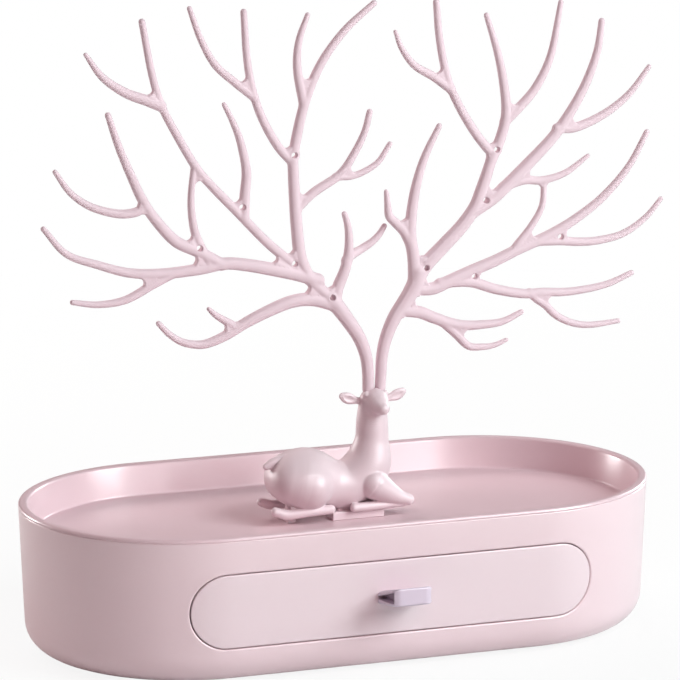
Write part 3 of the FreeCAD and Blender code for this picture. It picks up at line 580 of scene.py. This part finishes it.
def zinc_plate(name):
    """Bright zinc on steel: faint passivation tints and an uneven gloss."""
    material, tree, shader = shaded(name)
    place = add(tree, "ShaderNodeTexCoord")
    cloud = add(tree, "ShaderNodeTexNoise", {"Scale": 700.0}, Vector=place.outputs["Object"])
    ends = {"data_type": "RGBA", 6: linear((172, 176, 180)), 7: linear((198, 197, 188))}
    tint = add(tree, "ShaderNodeMix", ends, cloud.outputs["Fac"])
    sheen = add(tree, "ShaderNodeMapRange", {"To Min": 0.22, "To Max": 0.42}, Value=cloud.outputs["Fac"])
    wire(tree, shader, {"Metallic": 1.0}, Base_Color=tint.outputs[2], Roughness=sheen.outputs[0])
    return material


screw, given, leave = node_group("pan_screw", "Head radius", "Head height", "Shank radius", "Shank length",
                                 "Pitch")
half_head = scaled(screw, given["Head height"], 0.5)
crown_r = scaled(screw, given["Head radius"], 0.72)
disc = add(screw, "GeometryNodeMeshCone", {"Vertices": 32}, Radius_Top=given["Head radius"],
           Radius_Bottom=given["Head radius"], Depth=half_head)
dome = add(screw, "GeometryNodeMeshCone", {"Vertices": 32}, Radius_Top=given["Head radius"],
           Radius_Bottom=crown_r, Depth=half_head)
cross_long, cross_wide, cross_deep = 0.0026, 0.0006, 0.0016
slot_a = add(screw, "GeometryNodeMeshCube", {"Size": (cross_long, cross_wide, cross_deep)})
slot_b = add(screw, "GeometryNodeMeshCube", {"Size": (cross_wide, cross_long, cross_deep)})
top_z = scaled(screw, given["Head height"], -1.0)
cross = raised(screw, joined(screw, slot_a, slot_b), top_z)
recess = add(screw, "GeometryNodeMeshBoolean", {"operation": "DIFFERENCE", "solver": "EXACT"},
             Mesh_1=raised(screw, dome, top_z).outputs[0], Mesh_2=cross.outputs[0])
core_r = scaled(screw, given["Shank radius"], 0.86)
shank = add(screw, "GeometryNodeMeshCone", {"Vertices": 24}, Radius_Top=core_r, Radius_Bottom=core_r,
            Depth=given["Shank length"])
turns = add(screw, "ShaderNodeMath", {"operation": "DIVIDE"}, given["Shank length"], given["Pitch"])
helix = add(screw, "GeometryNodeCurveSpiral", {"Resolution": 24}, Rotations=turns.outputs[0],
            Start_Radius=core_r, End_Radius=core_r, Height=given["Shank length"])
ridge = add(screw, "GeometryNodeCurvePrimitiveCircle", {"Resolution": 6},
            Radius=scaled(screw, given["Shank radius"], 0.12))
thread = add(screw, "GeometryNodeCurveToMesh", {"Fill Caps": True}, Curve=helix.outputs[0],
             Profile_Curve=ridge.outputs[0])
disc = raised(screw, disc, scaled(screw, given["Head height"], -0.5))
finish_group(screw, given, leave, joined(screw, disc, recess, shank, thread))

zinc = zinc_plate("zinc_plated_steel")
well_z, box_set_back, box_wall = 22.95, 4.4, 1.6
seat_y = -reach_at(drawer_z) + box_set_back + box_wall
top_holes = [(x, y, well_z) for x, y in post_places]
front_holes = [(drawer_x + a * 44, seat_y, drawer_z + b * 6.5) for a in (1, -1) for b in (1, -1)]
pull_holes = [(drawer_x + 0.5 + a * 2.8, seat_y, drawer_z) for a in (1, -1)]
# Each set: name, places, body, turn, then head radius, head height, shank radius and shank length.
screw_sets = (("tray_screws", top_holes, "base", (0, 0, 0), (2.7, 2.0, 1.4, 16.0)),
              ("drawer_front_screws", front_holes, "drawer", (math.pi / 2, 0, 0), (2.4, 1.4, 0.84, 3.4)),
              ("handle_screws", pull_holes, "drawer", (math.pi / 2, 0, 0), (2.4, 1.4, 1.4, 12.2)))
for name, places, body, turn, (head_r, head_h, shank_r, shank_long) in screw_sets:
    piece = placed_set(name, screw, places, {"Head radius": head_r, "Head height": head_h, "Pitch": 1.1,
                                             "Shank radius": shank_r, "Shank length": shank_long}, zinc, turn)
    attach(piece, body)
    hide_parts(name)

pad, given, leave = node_group("round_pad", "Radius", "Thickness", "Edge")
face_r, body_high = [add(pad, "ShaderNodeMath", {"operation": "SUBTRACT"}, given[size], given["Edge"])
                     for size in ("Radius", "Thickness")]
edge = add(pad, "GeometryNodeMeshCone", {"Vertices": 48, "fill_type": "NGON"}, Radius_Top=given["Radius"],
           Radius_Bottom=face_r.outputs[0], Depth=given["Edge"])
slab = add(pad, "GeometryNodeMeshCylinder", {"Vertices": 48}, Radius=given["Radius"],
           Depth=body_high.outputs[0])
lift = add(pad, "ShaderNodeMath", {"operation": "MULTIPLY_ADD", 1: 0.5}, body_high.outputs[0], None,
           given["Edge"])
finish_group(pad, given, leave, joined(pad, edge, raised(pad, slab, lift.outputs[0])))
pad_rubber = satin_plastic("pad_rubber", (206, 200, 200), 8, roughness=0.7, mottle=0.06, grain=0.2, coat=0.0)
pads = placed_set("foot_pads", pad, [(x, y, 0.0) for x, y in post_places],
                  {"Radius": 6.0, "Thickness": 2.0, "Edge": 0.4}, pad_rubber)
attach(pads, "base")
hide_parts("foot_front_left", "foot_front_right", "foot_rear_left", "foot_rear_right")

# ---------------------------------------- deer
# Lying deer moulded in the same plastic with a duller skin, smooth and rounded. Two blocks under it
# plug into the tray's sockets, and two sockets in its crown take the antlers' pegs.

crown_x, crown_z = 15.0, floor_z + 47.5
peg_x = 2.35
far = 9.0


def blank(low, high, voxel):
    """Distance field on a grid over the box, far outside everywhere: values, grid's origin, grid's step."""
    shape = tuple(int(math.ceil((b - a) / voxel)) + 1 for a, b in zip(low, high))
    return np.full(shape, far, np.float32), np.array(low, float), voxel


def cells(field, low, high):
    """The field's cells that cover a box: their slices, and their coordinates."""
    values, origin, voxel = field
    a = np.maximum(0, np.floor((np.array(low) - origin) / voxel).astype(int))
    b = np.minimum(values.shape, np.ceil((np.array(high) - origin) / voxel).astype(int) + 1)
    grid = [origin[i] + voxel * np.arange(a[i], b[i]) for i in range(3)]
    return tuple(slice(a[i], b[i]) for i in range(3)), np.meshgrid(*grid, indexing="ij", sparse=True)


def smooth_min(a, b, k):
    """The smaller of two fields, rounded where they meet over a width k."""
    if k == 0:
        return np.minimum(a, b)
    h = np.clip(0.5 + 0.5 * (b - a) / k, 0, 1)
    return b + (a - b) * h - k * h * (1 - h)


def rounded(u, v):
    """Distance outside two edges at a right angle."""
    return np.hypot(np.maximum(u, 0), np.maximum(v, 0)) + np.minimum(np.maximum(u, v), 0)


def smooth_line(points, spacing):
    """Evenly spaced points on a Catmull-Rom line through rows of (x, y, z, size...)."""
    p = np.array(points, float)
    p = np.vstack([2 * p[0] - p[1], p, 2 * p[-1] - p[-2]])
    out = []
    for i in range(1, len(p) - 2):
        steps = max(1, int(round(np.linalg.norm(p[i + 1][:3] - p[i][:3]) / spacing)))
        for t in np.arange(steps) / steps:
            out.append(0.5 * (2 * p[i] + (p[i + 1] - p[i - 1]) * t
                              + (2 * p[i - 1] - 5 * p[i] + 4 * p[i + 1] - p[i + 2]) * t * t
                              + (3 * p[i] - p[i - 1] - 3 * p[i + 1] + p[i + 2]) * t ** 3))
    out.append(p[-2])
    return np.array(out)


def limb_field(field, line, blend, flat=1.0, across=1):
    """Adds a tapering round bar (rows of x, y, z, radius) to the field; flat squeezes it along one axis."""
    values = field[0]
    reach = line[:, 3].max() + blend + 3 * field[2]
    where = cells(field, line[:, :3].min(0) - reach, line[:, :3].max(0) + reach)[0]
    if 0 in values[where].shape:
        return
    bar = np.full(values[where].shape, far, np.float32)
    scale = [1.0, 1.0, 1.0]
    scale[across] = 1.0 / flat
    for a, b in zip(line[:-1], line[1:]):
        part, (x, y, z) = cells(field, np.minimum(a[:3], b[:3]) - reach, np.maximum(a[:3], b[:3]) + reach)
        local = tuple(slice(max(0, s.start - w.start), max(0, s.stop - w.start)) for s, w in zip(part, where))
        d = b[:3] - a[:3]
        px, py, pz = (x - a[0]) * scale[0], (y - a[1]) * scale[1], (z - a[2]) * scale[2]
        dx, dy, dz = d[0] * scale[0], d[1] * scale[1], d[2] * scale[2]
        t = np.clip((px * dx + py * dy + pz * dz) / max(1e-9, dx * dx + dy * dy + dz * dz), 0, 1)
        away = np.sqrt((px - t * dx) ** 2 + (py - t * dy) ** 2 + (pz - t * dz) ** 2)
        dist = away - (a[3] + (b[3] - a[3]) * t)
        bar[local] = np.minimum(bar[local], dist.astype(np.float32))
    values[where] = smooth_min(values[where], bar, blend)


def block_field(field, low, high, radius):
    """Adds a block with rounded edges to the field."""
    values = field[0]
    low, high = np.array(low, float), np.array(high, float)
    where, grid = cells(field, low - 4, high + 4)
    centre, half = (low + high) / 2, (high - low) / 2 - radius
    q = [np.abs(g - c) - h for g, c, h in zip(grid, centre, half)]
    outside = np.sqrt(sum(np.maximum(v, 0) ** 2 for v in q))
    inside = np.minimum(np.maximum(np.maximum(q[0], q[1]), q[2]), 0)
    values[where] = np.minimum(values[where], (outside + inside - radius).astype(np.float32))


def cut_bar(field, a, b, radius):
    """Takes a round bar from a to b out of the field."""
    values = field[0]
    a, b = np.array(a, float), np.array(b, float)
    where, (x, y, z) = cells(field, np.minimum(a, b) - radius - 1, np.maximum(a, b) + radius + 1)
    d = b - a
    t = ((x - a[0]) * d[0] + (y - a[1]) * d[1] + (z - a[2]) * d[2]) / (d @ d)
    r = np.sqrt((x - a[0] - t * d[0]) ** 2 + (y - a[1] - t * d[1]) ** 2 + (z - a[2] - t * d[2]) ** 2) - radius
    ends = (np.abs(t - 0.5) - 0.5) * np.linalg.norm(d)
    values[where] = np.maximum(values[where], -np.maximum(r, ends).astype(np.float32))


def sample(values, at):
    """Trilinear reading of the field at fractional cell positions."""
    cell = np.clip(np.floor(at).astype(int), 0, np.array(values.shape) - 2)
    f = at - cell
    total = np.zeros(len(at))
    for corner in range(8):
        o = np.array([(corner >> 2) & 1, (corner >> 1) & 1, corner & 1])
        w = np.prod(np.where(o, f, 1 - f), axis=1)
        total += w * values[tuple((cell + o).T)]
    return total


def slope_at(values, points):
    """The field's slope at fractional cell positions, per cell."""
    halves = np.eye(3) * 0.5
    return np.stack([sample(values, points + e) - sample(values, points - e) for e in halves], axis=1)


def skin(name, field, band=3.0, rounds=4, even=0.6, furthest=0.5):
    """Mesh of the field's surface: evened out, every point drawn onto the surface, shaded along the slope."""
    values, origin, voxel = field
    grid = openvdb.FloatGrid(band)
    grid.copyFromArray(np.clip(values, -band, band))
    points, triangles, quads = grid.convertToPolygons(isovalue=0.0, adaptivity=0.0)
    points = points.astype(float)
    corners = np.concatenate([quads[:, [i, (i + 1) % 4]] for i in range(4)])
    count = np.bincount(corners[:, 0], minlength=len(points)) + 1e-9
    for step in range(rounds):
        if step < rounds - 1:
            mean = np.stack([np.bincount(corners[:, 0], points[corners[:, 1], i], len(points)) / count
                             for i in range(3)], axis=1)
            points += (mean - points) * even
        for pull in range(2):
            slope = slope_at(values, points)
            steep = np.maximum((slope ** 2).sum(1), 0.01)
            move = np.clip(sample(values, points) / steep, -furthest / voxel, furthest / voxel)
            points -= slope * move[:, None]
    slope = slope_at(values, points)
    slope /= np.linalg.norm(slope, axis=1)[:, None] + 1e-9
    obj = build(name, points * voxel + origin, quads, 180.0)
    obj.data.normals_split_custom_set_from_vertices([tuple(n) for n in slope])
    return obj


deer_space = ((-33, -17, floor_z - 5), (31, 17, floor_z + 51), 0.32)
deer_field = blank(*deer_space)


def limb(stations, blend, flat=1.0, field=deer_field):
    """Adds a limb through rows of (x, y, height over the tray's floor, radius)."""
    line = smooth_line(stations, 0.8)
    line[:, 2] += floor_z
    limb_field(field, line, blend, flat)


limb([(-19.6, 0, 16.4, 6.8), (-12.8, 0, 16, 11.2), (-3, 0, 13, 9.2), (5, 0, 12.6, 8.9), (12.2, 0, 18.6, 8.7),
      (14, 0, 27.5, 6.4), (14.2, 0, 35, 5.9), (14.4, 0, 41.5, 5.2)], 0)
for s in (1, -1):
    haunch = [(-18.2, s * 4.6, 15.4, 8.1), (-15, s * 5.3, 14.7, 8.5), (-12.4, s * 5.8, 14, 8.7)]
    limb(haunch[:2], 3.5)
    limb(haunch[1:], 0.9)
    limb([(12.4, s * 5.4, 12.9, 6), (17.6, s * 6.2, 9.6, 4.3), (22, s * 6.8, 7.3, 2.9),
          (26, s * 7, 5.9, 2.2)], 0.5)
    limb([(-5.2, s * 8.6, 5.2, 1.75), (-14, s * 8.5, 4.9, 1.8), (-22, s * 8.2, 4.5, 1.9),
          (-26.6, s * 7.8, 5.9, 1.7)], 0.5)
    limb([(24.2, s * 6.6, 4.9, 1.6), (15, s * 7, 4.7, 1.6), (4.4, s * 7.6, 4.8, 1.7)], 0.4)
limb([(14.6, 2.2, 43.2, 3.8), (14.6, -1, 43.6, 4.7), (14.8, -4.4, 43.1, 4.1), (15.1, -6.8, 42.3, 3.1),
      (15.4, -8.6, 41.7, 2.4)], 1.5)
head_x, ear_flat, hollow_flat = 14.6, 0.5, 0.55
for s in (1, -1):
    ear = [(head_x + s * out, 0.4, z, r)
           for out, z, r in ((3, 43, 1.5), (6.2, 43.4, 1.35), (9.8, 44.5, 2.15), (11.9, 45.5, 1.4))]
    limb(ear, 0.6, ear_flat)
    hollow = blank(*deer_space)
    limb([(x, -0.8, z, r * 0.6) for x, y, z, r in ear[1:]], 0, hollow_flat, hollow)
    deer_field[0][:] = -smooth_min(-deer_field[0], hollow[0], 0.4)
    limb([(head_x + s * 3.6, -2.2, 45.8, 1.3), (head_x + s * 3.8, -2.6, 46, 1.2)], 0.7)
limb([(-20.5, 0, 23.4, 1.9), (-24.4, 0, 22.8, 1.7), (-27.4, 0, 21.3, 1.3)], 0.7, 0.8)
for foot in deer_feet:
    x0, x1, y0, y1 = foot
    block_field(deer_field, (x0, y0, floor_z + 0.02), (x1, y1, floor_z + 3.2), 0.25)
    inset = min(3.0, (x1 - x0) / 4)
    block_field(deer_field, (x0 + inset, y0 + 3, floor_z + 1), (x1 - inset, y1 - 3, floor_z + 11), 0.25)
    x0, x1, y0, y1 = plug_plan(foot, 0)
    block_field(deer_field, (x0, y0, floor_z - 3.9), (x1, y1, floor_z + 1), 0.2)
socket_r, socket_deep, collar_r, collar_deep = 1.63, 7, 2.8, 0.25
for s in (1, -1):
    x = crown_x + s * peg_x
    cut_bar(deer_field, (x, 0, crown_z - socket_deep), (x, 0, crown_z + 4), socket_r)
    cut_bar(deer_field, (x, 0, crown_z - collar_deep), (x, 0, crown_z + 8), collar_r)
deer = skin("deer", deer_field)
deer_pink = satin_plastic("deer_pink", (218, 198, 204), 6, roughness=0.45, coat=0.0, shine=0.4)
deer.data.materials.append(deer_pink)
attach(deer, "deer_figure")
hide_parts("deer")

# ---------------------------------------- drawer handle
# Small pull moulded in lilac-pink plastic, screwed to the panel from inside: it rises and thickens
# away from the panel, with a wedge-shaped gap in each end and a shadow line round its foot.

pull_x, pull_y = drawer_x + 0.5, -reach_at(drawer_z)
pull_reach, pull_rise, pull_half = 16.0, 3.8, 8.0
foot_share, foot_low = 0.05, 0.3
handle_field = blank((pull_x - 9, pull_y - pull_reach - 1, drawer_z - 4),
                     (pull_x + 9, pull_y + 1, drawer_z + pull_rise + 5), 0.14)
values, origin, voxel = handle_field
x, y, z = [origin[i] + voxel * np.arange(values.shape[i]) for i in range(3)]
x, y, z = np.abs(x - pull_x)[:, None, None], y[None, :, None], z[None, None, :]
t = np.clip((pull_y - y) / pull_reach, 0, 1)
foot_line = t < foot_share
half_long = pull_half - 0.7 * foot_line
half_high = 2.3 + 1.05 * t ** 0.8 - foot_low * foot_line
corner = half_high * 0.6
bar = rounded(x - half_long + corner, np.abs(z - drawer_z - pull_rise * t) - half_high + corner) - corner
bow_from, bow = 4.5, 3.5
front = pull_y - pull_reach - y + 0.5 * np.maximum(x - bow_from, 0) ** 2 / bow
bar = -smooth_min(-bar, -front * np.ones_like(bar), 1.0)
bar = np.maximum(bar, y + reach_at(z))
gap_half = 0.4 + 1.75 * t
gap_low, gap_end, gap_share = 0.2, 4.6, 0.93
gap_middle = drawer_z + gap_low + (pull_rise - gap_low) * t
notch = np.maximum(np.abs(z - gap_middle) - gap_half, gap_end - x)
notch = np.maximum(notch, pull_y - gap_share * pull_reach - y)
handle_field[0][:] = -smooth_min(-bar, notch, 0.3)
handle = skin("drawer_handle", handle_field)
handle.data.materials.append(satin_plastic("handle_lilac", (208, 192, 208), 4, roughness=0.36))
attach(handle, "drawer")
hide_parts("drawer_handle")

# ---------------------------------------- antlers
# Two flat branching mouldings of the same plastic with a matt skin, each with a round peg that plugs
# into the crown, webbed forks and five earring eyes.
# Rows: start radius, tip radius, then (right, up) or (right, up, back) from the crown in millimetres.

left_branches = [
    (2.15, 3.05, [(-2.35, 0), (-2.4, 6), (-3.2, 12.5), (-6, 20), (-11.6, 28.4), (-17.2, 35.7)]),
    (2.4, 1.95, [(-17.5, 35.5), (-24.8, 42.9), (-28.6, 51), (-30, 61), (-31, 75), (-31.7, 90.1)]),
    (1.95, 1.17, [(-31.6, 88), (-29.9, 97), (-27.1, 107.9), (-23.1, 117.8), (-18.2, 126.1), (-10.5, 135.1),
        (0, 143.7)]),
    (1.8, 0.98, [(-27.3, 108), (-29.7, 121), (-29.1, 131), (-25.7, 140.6)]),
    (1.67, 1.23, [(-31.8, 86.8), (-37.4, 93.2), (-43, 103.1), (-46.8, 113.7), (-49, 126), (-50.1, 142.8)]),
    (1.6, 1, [(-46.4, 111.6), (-53.9, 117.6), (-61.2, 124.3), (-66.6, 134), (-70.6, 145)]),
    (1.77, 1.16, [(-30.8, 69), (-23.4, 75.3), (-13.6, 81.1), (-8.5, 87.5), (-3.9, 95.9), (-1.7, 103.8)]),
    (1.31, 0.98, [(-15, 80.5), (-9.4, 80.3), (-4.1, 81.7), (1.7, 85.1), (6.2, 91.5)]),
    (1.8, 1.25, [(-25.5, 42.9), (-33, 50.2), (-42, 58.2), (-53.1, 69.9), (-63.1, 80.4), (-69.1, 87.9),
        (-78.1, 103.5), (-82.2, 112.3), (-85.2, 123), (-88.5, 141.1)]),
    (2, 0.89, [(-50.5, 68), (-50.1, 76), (-49.5, 85), (-51.8, 96), (-54.7, 103.4), (-57.8, 109.6)]),
    (2.08, 0.86, [(-81.7, 110.3), (-87, 112.6), (-95.1, 115.9), (-103.5, 121.9), (-109.6, 130.3)]),
    (1.16, 1.99, [(-69.4, 88), (-70.6, 77), (-70.3, 69), (-68.7, 61.6), (-64.5, 52.1)]),
    (2.52, 1.06, [(-22, 42.5), (-29.1, 44.9), (-38, 47.3), (-49, 49.9), (-58, 51.1), (-68, 49.7), (-81, 49),
        (-94, 50.1), (-106.2, 53.9), (-117.9, 58.7), (-126.2, 68.3)]),
    (1.74, 1.01, [(-77, 49.1), (-85.1, 45.4), (-95.6, 40.4), (-106, 39.3), (-115.8, 40.8)]),
    (2.26, 1.16, [(-59.2, 50.9), (-68.1, 56.2), (-76.9, 60.8), (-84.6, 69.5), (-89, 76.4), (-92.7, 84.4),
        (-97.6, 96.1), (-101.6, 108.1)]),
    (1.72, 0.94, [(-88.2, 73.8), (-92.3, 72.1), (-99, 72.2), (-108.7, 75.4), (-116.1, 80.9),
        (-121.6, 88.7)]),
    (2.55, 1.05, [(-14.5, 32.5), (-23.5, 35.3), (-31.5, 35.3), (-39.9, 32.8), (-49.9, 28.6), (-57.7, 24.4),
        (-65, 21.9), (-69.8, 21.9), (-75, 23.4), (-79.7, 26.7), (-83.4, 30.7)]),
    (1.65, 0.87, [(-53.5, 27), (-58.2, 30), (-61.7, 32.3), (-64.2, 34.7)]),
    (2.29, 1.07, [(-15.5, 32.5), (-14.2, 39.2), (-11.7, 44.9), (-10.2, 50.5), (-9.8, 56.3), (-10.3, 62),
        (-11.6, 66.5)]),
    (1.73, 1.06, [(-11.1, 49.1, 0), (-7.5, 51.1, 1.5), (-3.6, 52.5, 3), (0.6, 55, 3), (3.3, 57.6, 3),
        (5.1, 60.4, 3)]),
]
right_branches = [
    (2.05, 3.33, [(2.35, 0), (2.7, 5.5), (3.1, 11.7), (4.6, 18.5), (7.9, 26), (12.5, 32.5), (16.1, 38),
        (17.4, 43)]),
    (2.4, 1.1, [(16, 39), (15.6, 48), (14.3, 57), (14.9, 66), (16.7, 75.9), (20.1, 86.2), (25.6, 97)]),
    (2.08, 0.89, [(14.5, 53.5), (11.8, 58.5), (8.3, 62), (5.9, 64.6), (5.3, 69), (4.8, 73.8)]),
    (2.83, 1.96, [(15, 36.5), (20, 44.8), (27.1, 51.7), (34.6, 58.9), (39.8, 65.7), (42.3, 71.7),
        (44.6, 78.1), (47.2, 85.8)]),
    (1.75, 1.27, [(46.8, 85), (40.3, 93), (34.1, 102.8), (29.5, 112.3), (27.1, 121), (25.3, 131.5),
        (24.3, 142.9)]),
    (1.77, 0.8, [(30.1, 110.4), (23.5, 115.3), (15.9, 119.9), (10.9, 126.3), (8.3, 132.8)]),
    (2.07, 1.03, [(46.4, 83.4), (50.1, 91.5), (52.1, 100), (51.3, 110), (48.7, 122.5), (44.1, 137.1)]),
    (1.82, 1.01, [(51.5, 96.9), (57.2, 102), (64.1, 109.5), (69.9, 121.3), (73.7, 140.6)]),
    (2.43, 1.24, [(40, 64.5), (47.1, 68.7), (53.2, 73.7), (61.2, 80.9), (71.1, 90.4), (78.6, 100.3),
        (84.5, 110.7), (88.6, 121.9), (90.2, 132.7)]),
    (1.82, 0.95, [(72.5, 93.5), (80.2, 93.4), (91.5, 97.7), (101.6, 104.8), (109.7, 114.7)]),
    (1.76, 0.84, [(51, 72.6), (59.5, 74.7), (66.8, 74.2), (76.2, 76.5), (85.2, 82.4)]),
    (1.14, 1.51, [(67.5, 74.3), (66.9, 65), (63, 57.8), (56.5, 50)]),
    (2.36, 1.08, [(16, 36.5), (23.3, 36.2), (30.1, 38.7), (39.2, 42), (48.1, 45), (57, 48.6), (65, 51.4),
        (73.2, 54.9), (81.5, 59.4), (91.7, 66.6), (101.8, 77.3), (109.1, 90)]),
    (1.77, 0.93, [(65, 51.2), (74, 50.8), (81, 50), (88.9, 49.9), (99.6, 51.8), (108.8, 57.3),
        (115.2, 64.2)]),
    (2.04, 1.09, [(26, 37.9), (33, 38.1), (39.6, 37.3), (48.3, 34.2), (59.5, 31.7), (67, 31.7),
        (78.5, 31.2), (92.7, 32.8), (103.5, 36.6)]),
    (1.57, 0.97, [(62, 32), (65, 29.2), (68.4, 26.8), (72.8, 22.5), (79.2, 19.2), (86.8, 17.8),
        (98.3, 18.5)]),
    (2.35, 1.03, [(11.5, 28.8), (18, 27.6), (23, 25.4), (29, 23), (35.4, 21.4), (43, 21.1), (51.2, 21.7),
        (58.8, 24.8)]),
    (1.8, 0.8, [(26, 24.4), (32.4, 18.4), (37.5, 13.4), (43, 12.6), (48, 12.9), (52.8, 14.6)]),
]
left_eyes = [(-31.4, 89.6), (-51.4, 71.7), (-67.9, 57.6), (-31.4, 49.4), (-17.1, 36.0)]
right_eyes = [(48, 87.0), (43.7, 68.3), (19.9, 44.5), (39.4, 39.9), (74, 52.5)]


def crossings(flat, level, x, z, voxel):
    """Points where the field crosses the level along either axis of the grid."""
    f = flat - level
    i, k = np.nonzero((f[:-1] < 0) != (f[1:] < 0))
    points = list(zip(x[i] + voxel * (f[i, k] / (f[i, k] - f[i + 1, k])), z[k]))
    i, k = np.nonzero((f[:, :-1] < 0) != (f[:, 1:] < 0))
    return points + list(zip(x[i], z[k] + voxel * (f[i, k] / (f[i, k] - f[i, k + 1]))))


eye_r, eye_rim_r, eye_half = 1.1, 2.3, 1.3
crotch, web_share, web_edge = 1.3, 0.8, 0.35


def web_plate(field, lines, eyes):
    """Thin plate that fills each fork up to a round crotch, and rings each eye."""
    values, origin, voxel = field
    x = origin[0] + voxel * np.arange(values.shape[0])
    z = origin[2] + voxel * np.arange(values.shape[2])
    flat = np.full((len(x), len(z)), far)
    thick = np.full((len(x), len(z)), 0.5)
    out_of_plane, margin = 0.8, 1.5
    for line in lines:
        for a, b in zip(line[:-1], line[1:]):
            if max(abs(a[1]), abs(b[1])) > out_of_plane:
                continue
            r = max(a[3], b[3]) + crotch + margin
            i0, i1 = np.searchsorted(x, [min(a[0], b[0]) - r, max(a[0], b[0]) + r])
            k0, k1 = np.searchsorted(z, [min(a[2], b[2]) - r, max(a[2], b[2]) + r])
            px, pz = x[i0:i1, None] - a[0], z[None, k0:k1] - a[2]
            d = b - a
            t = np.clip((px * d[0] + pz * d[2]) / max(1e-9, d[0] ** 2 + d[2] ** 2), 0, 1)
            radius = a[3] + d[3] * t
            dist = np.hypot(px - t * d[0], pz - t * d[2]) - radius
            near = dist < flat[i0:i1, k0:k1]
            thick[i0:i1, k0:k1][near] = (radius * web_share)[near]
            flat[i0:i1, k0:k1] = np.minimum(flat[i0:i1, k0:k1], dist)
    rim = crossings(flat, crotch, x, z, voxel)
    tree = KDTree(len(rim))
    for number, (px, pz) in enumerate(rim):
        tree.insert((px, 0, pz), number)
    tree.balance()
    closed = flat.copy()
    for i, k in zip(*np.nonzero((flat > -0.6) & (flat < crotch))):
        closed[i, k] = crotch - tree.find((x[i], 0, z[k]))[2]
    # Where no fork is near, the plate lies deep inside the branch, so it shows only in the forks.
    inset, tuck, fade = 0.15, 0.55, 0.25
    closed += inset + tuck * (1 - np.clip((flat - closed) / fade, 0, 1))
    for ex, ez in eyes:
        ring = np.hypot(x[:, None] - crown_x - ex, z[None, :] - crown_z - ez) - eye_rim_r
        thick[ring < closed] = eye_half
        closed = np.minimum(closed, ring)
    for step in range(4):
        thick[1:-1, 1:-1] = (thick[1:-1, 1:-1] * 2 + thick[:-2, 1:-1] + thick[2:, 1:-1]
                             + thick[1:-1, :-2] + thick[1:-1, 2:]) / 6
    y = np.abs(origin[1] + voxel * np.arange(values.shape[1]))[None, :, None]
    plate = rounded(closed[:, None, :] + web_edge, y - (thick[:, None, :] - web_edge)) - web_edge
    values[:] = smooth_min(values, plate.astype(np.float32), 0.4)


def grow_antler(name, branches, eyes, side, body):
    """One antler: its branches, webs and eyes, and a peg with a squared end."""
    spread = np.array([p[:2] for b in branches for p in b[2]])
    low = (crown_x + spread[:, 0].min() - 4, -5, crown_z - 9)
    high = (crown_x + spread[:, 0].max() + 4, 7, crown_z + spread[:, 1].max() + 4)
    field = blank(low, high, 0.43)
    lines = []
    for start, tip, places in branches:
        rows = [(crown_x + p[0], p[2] if len(p) > 2 else 0.0, crown_z + p[1], 0.0) for p in places]
        line = smooth_line(rows, 1.2)
        run = np.concatenate([[0], np.cumsum(np.linalg.norm(np.diff(line[:, :3], axis=0), axis=1))])
        line[:, 3] = tip + (start - tip) * (1 - (run / run[-1]) ** 1.6)
        limb_field(field, line, 0.5)
        lines.append(line)
    web_plate(field, lines, eyes)
    x, peg_r, key_half = crown_x + side * peg_x, 1.55, 1.1
    limb_field(field, np.array([(x, 0, crown_z - 5.45, peg_r), (x, 0, crown_z + 1, peg_r)]), 0)
    block_field(field, (x - key_half, -key_half, crown_z - 7), (x + key_half, key_half, crown_z - 4), 0.1)
    for ex, ez in eyes:
        cut_bar(field, (crown_x + ex, -6, crown_z + ez), (crown_x + ex, 6, crown_z + ez), eye_r)
    antler = skin(name, field)
    antler.data.materials.append(antler_pink)
    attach(antler, body)
    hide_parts(name)
    return antler


antler_pink = satin_plastic("antler_pink", (220, 197, 205), 7, roughness=0.55, grain=0.015, coat=0.0,
                            shine=0.3)
rods = bpy.data.collections.new("rods")
rods.objects.link(grow_antler("antler_left", left_branches, left_eyes, -1, "left_antler"))
rods.objects.link(grow_antler("antler_right", right_branches, right_eyes, 1, "right_antler"))
# The gloss cards leave the matt antlers alone: they light everything but the rods.
for rod in rods.collection_objects:
    rod.light_linking.link_state = "EXCLUDE"
for lamp in scene.collection.objects:
    if lamp.name.startswith("card_"):
        lamp.light_linking.receiver_collection = rods
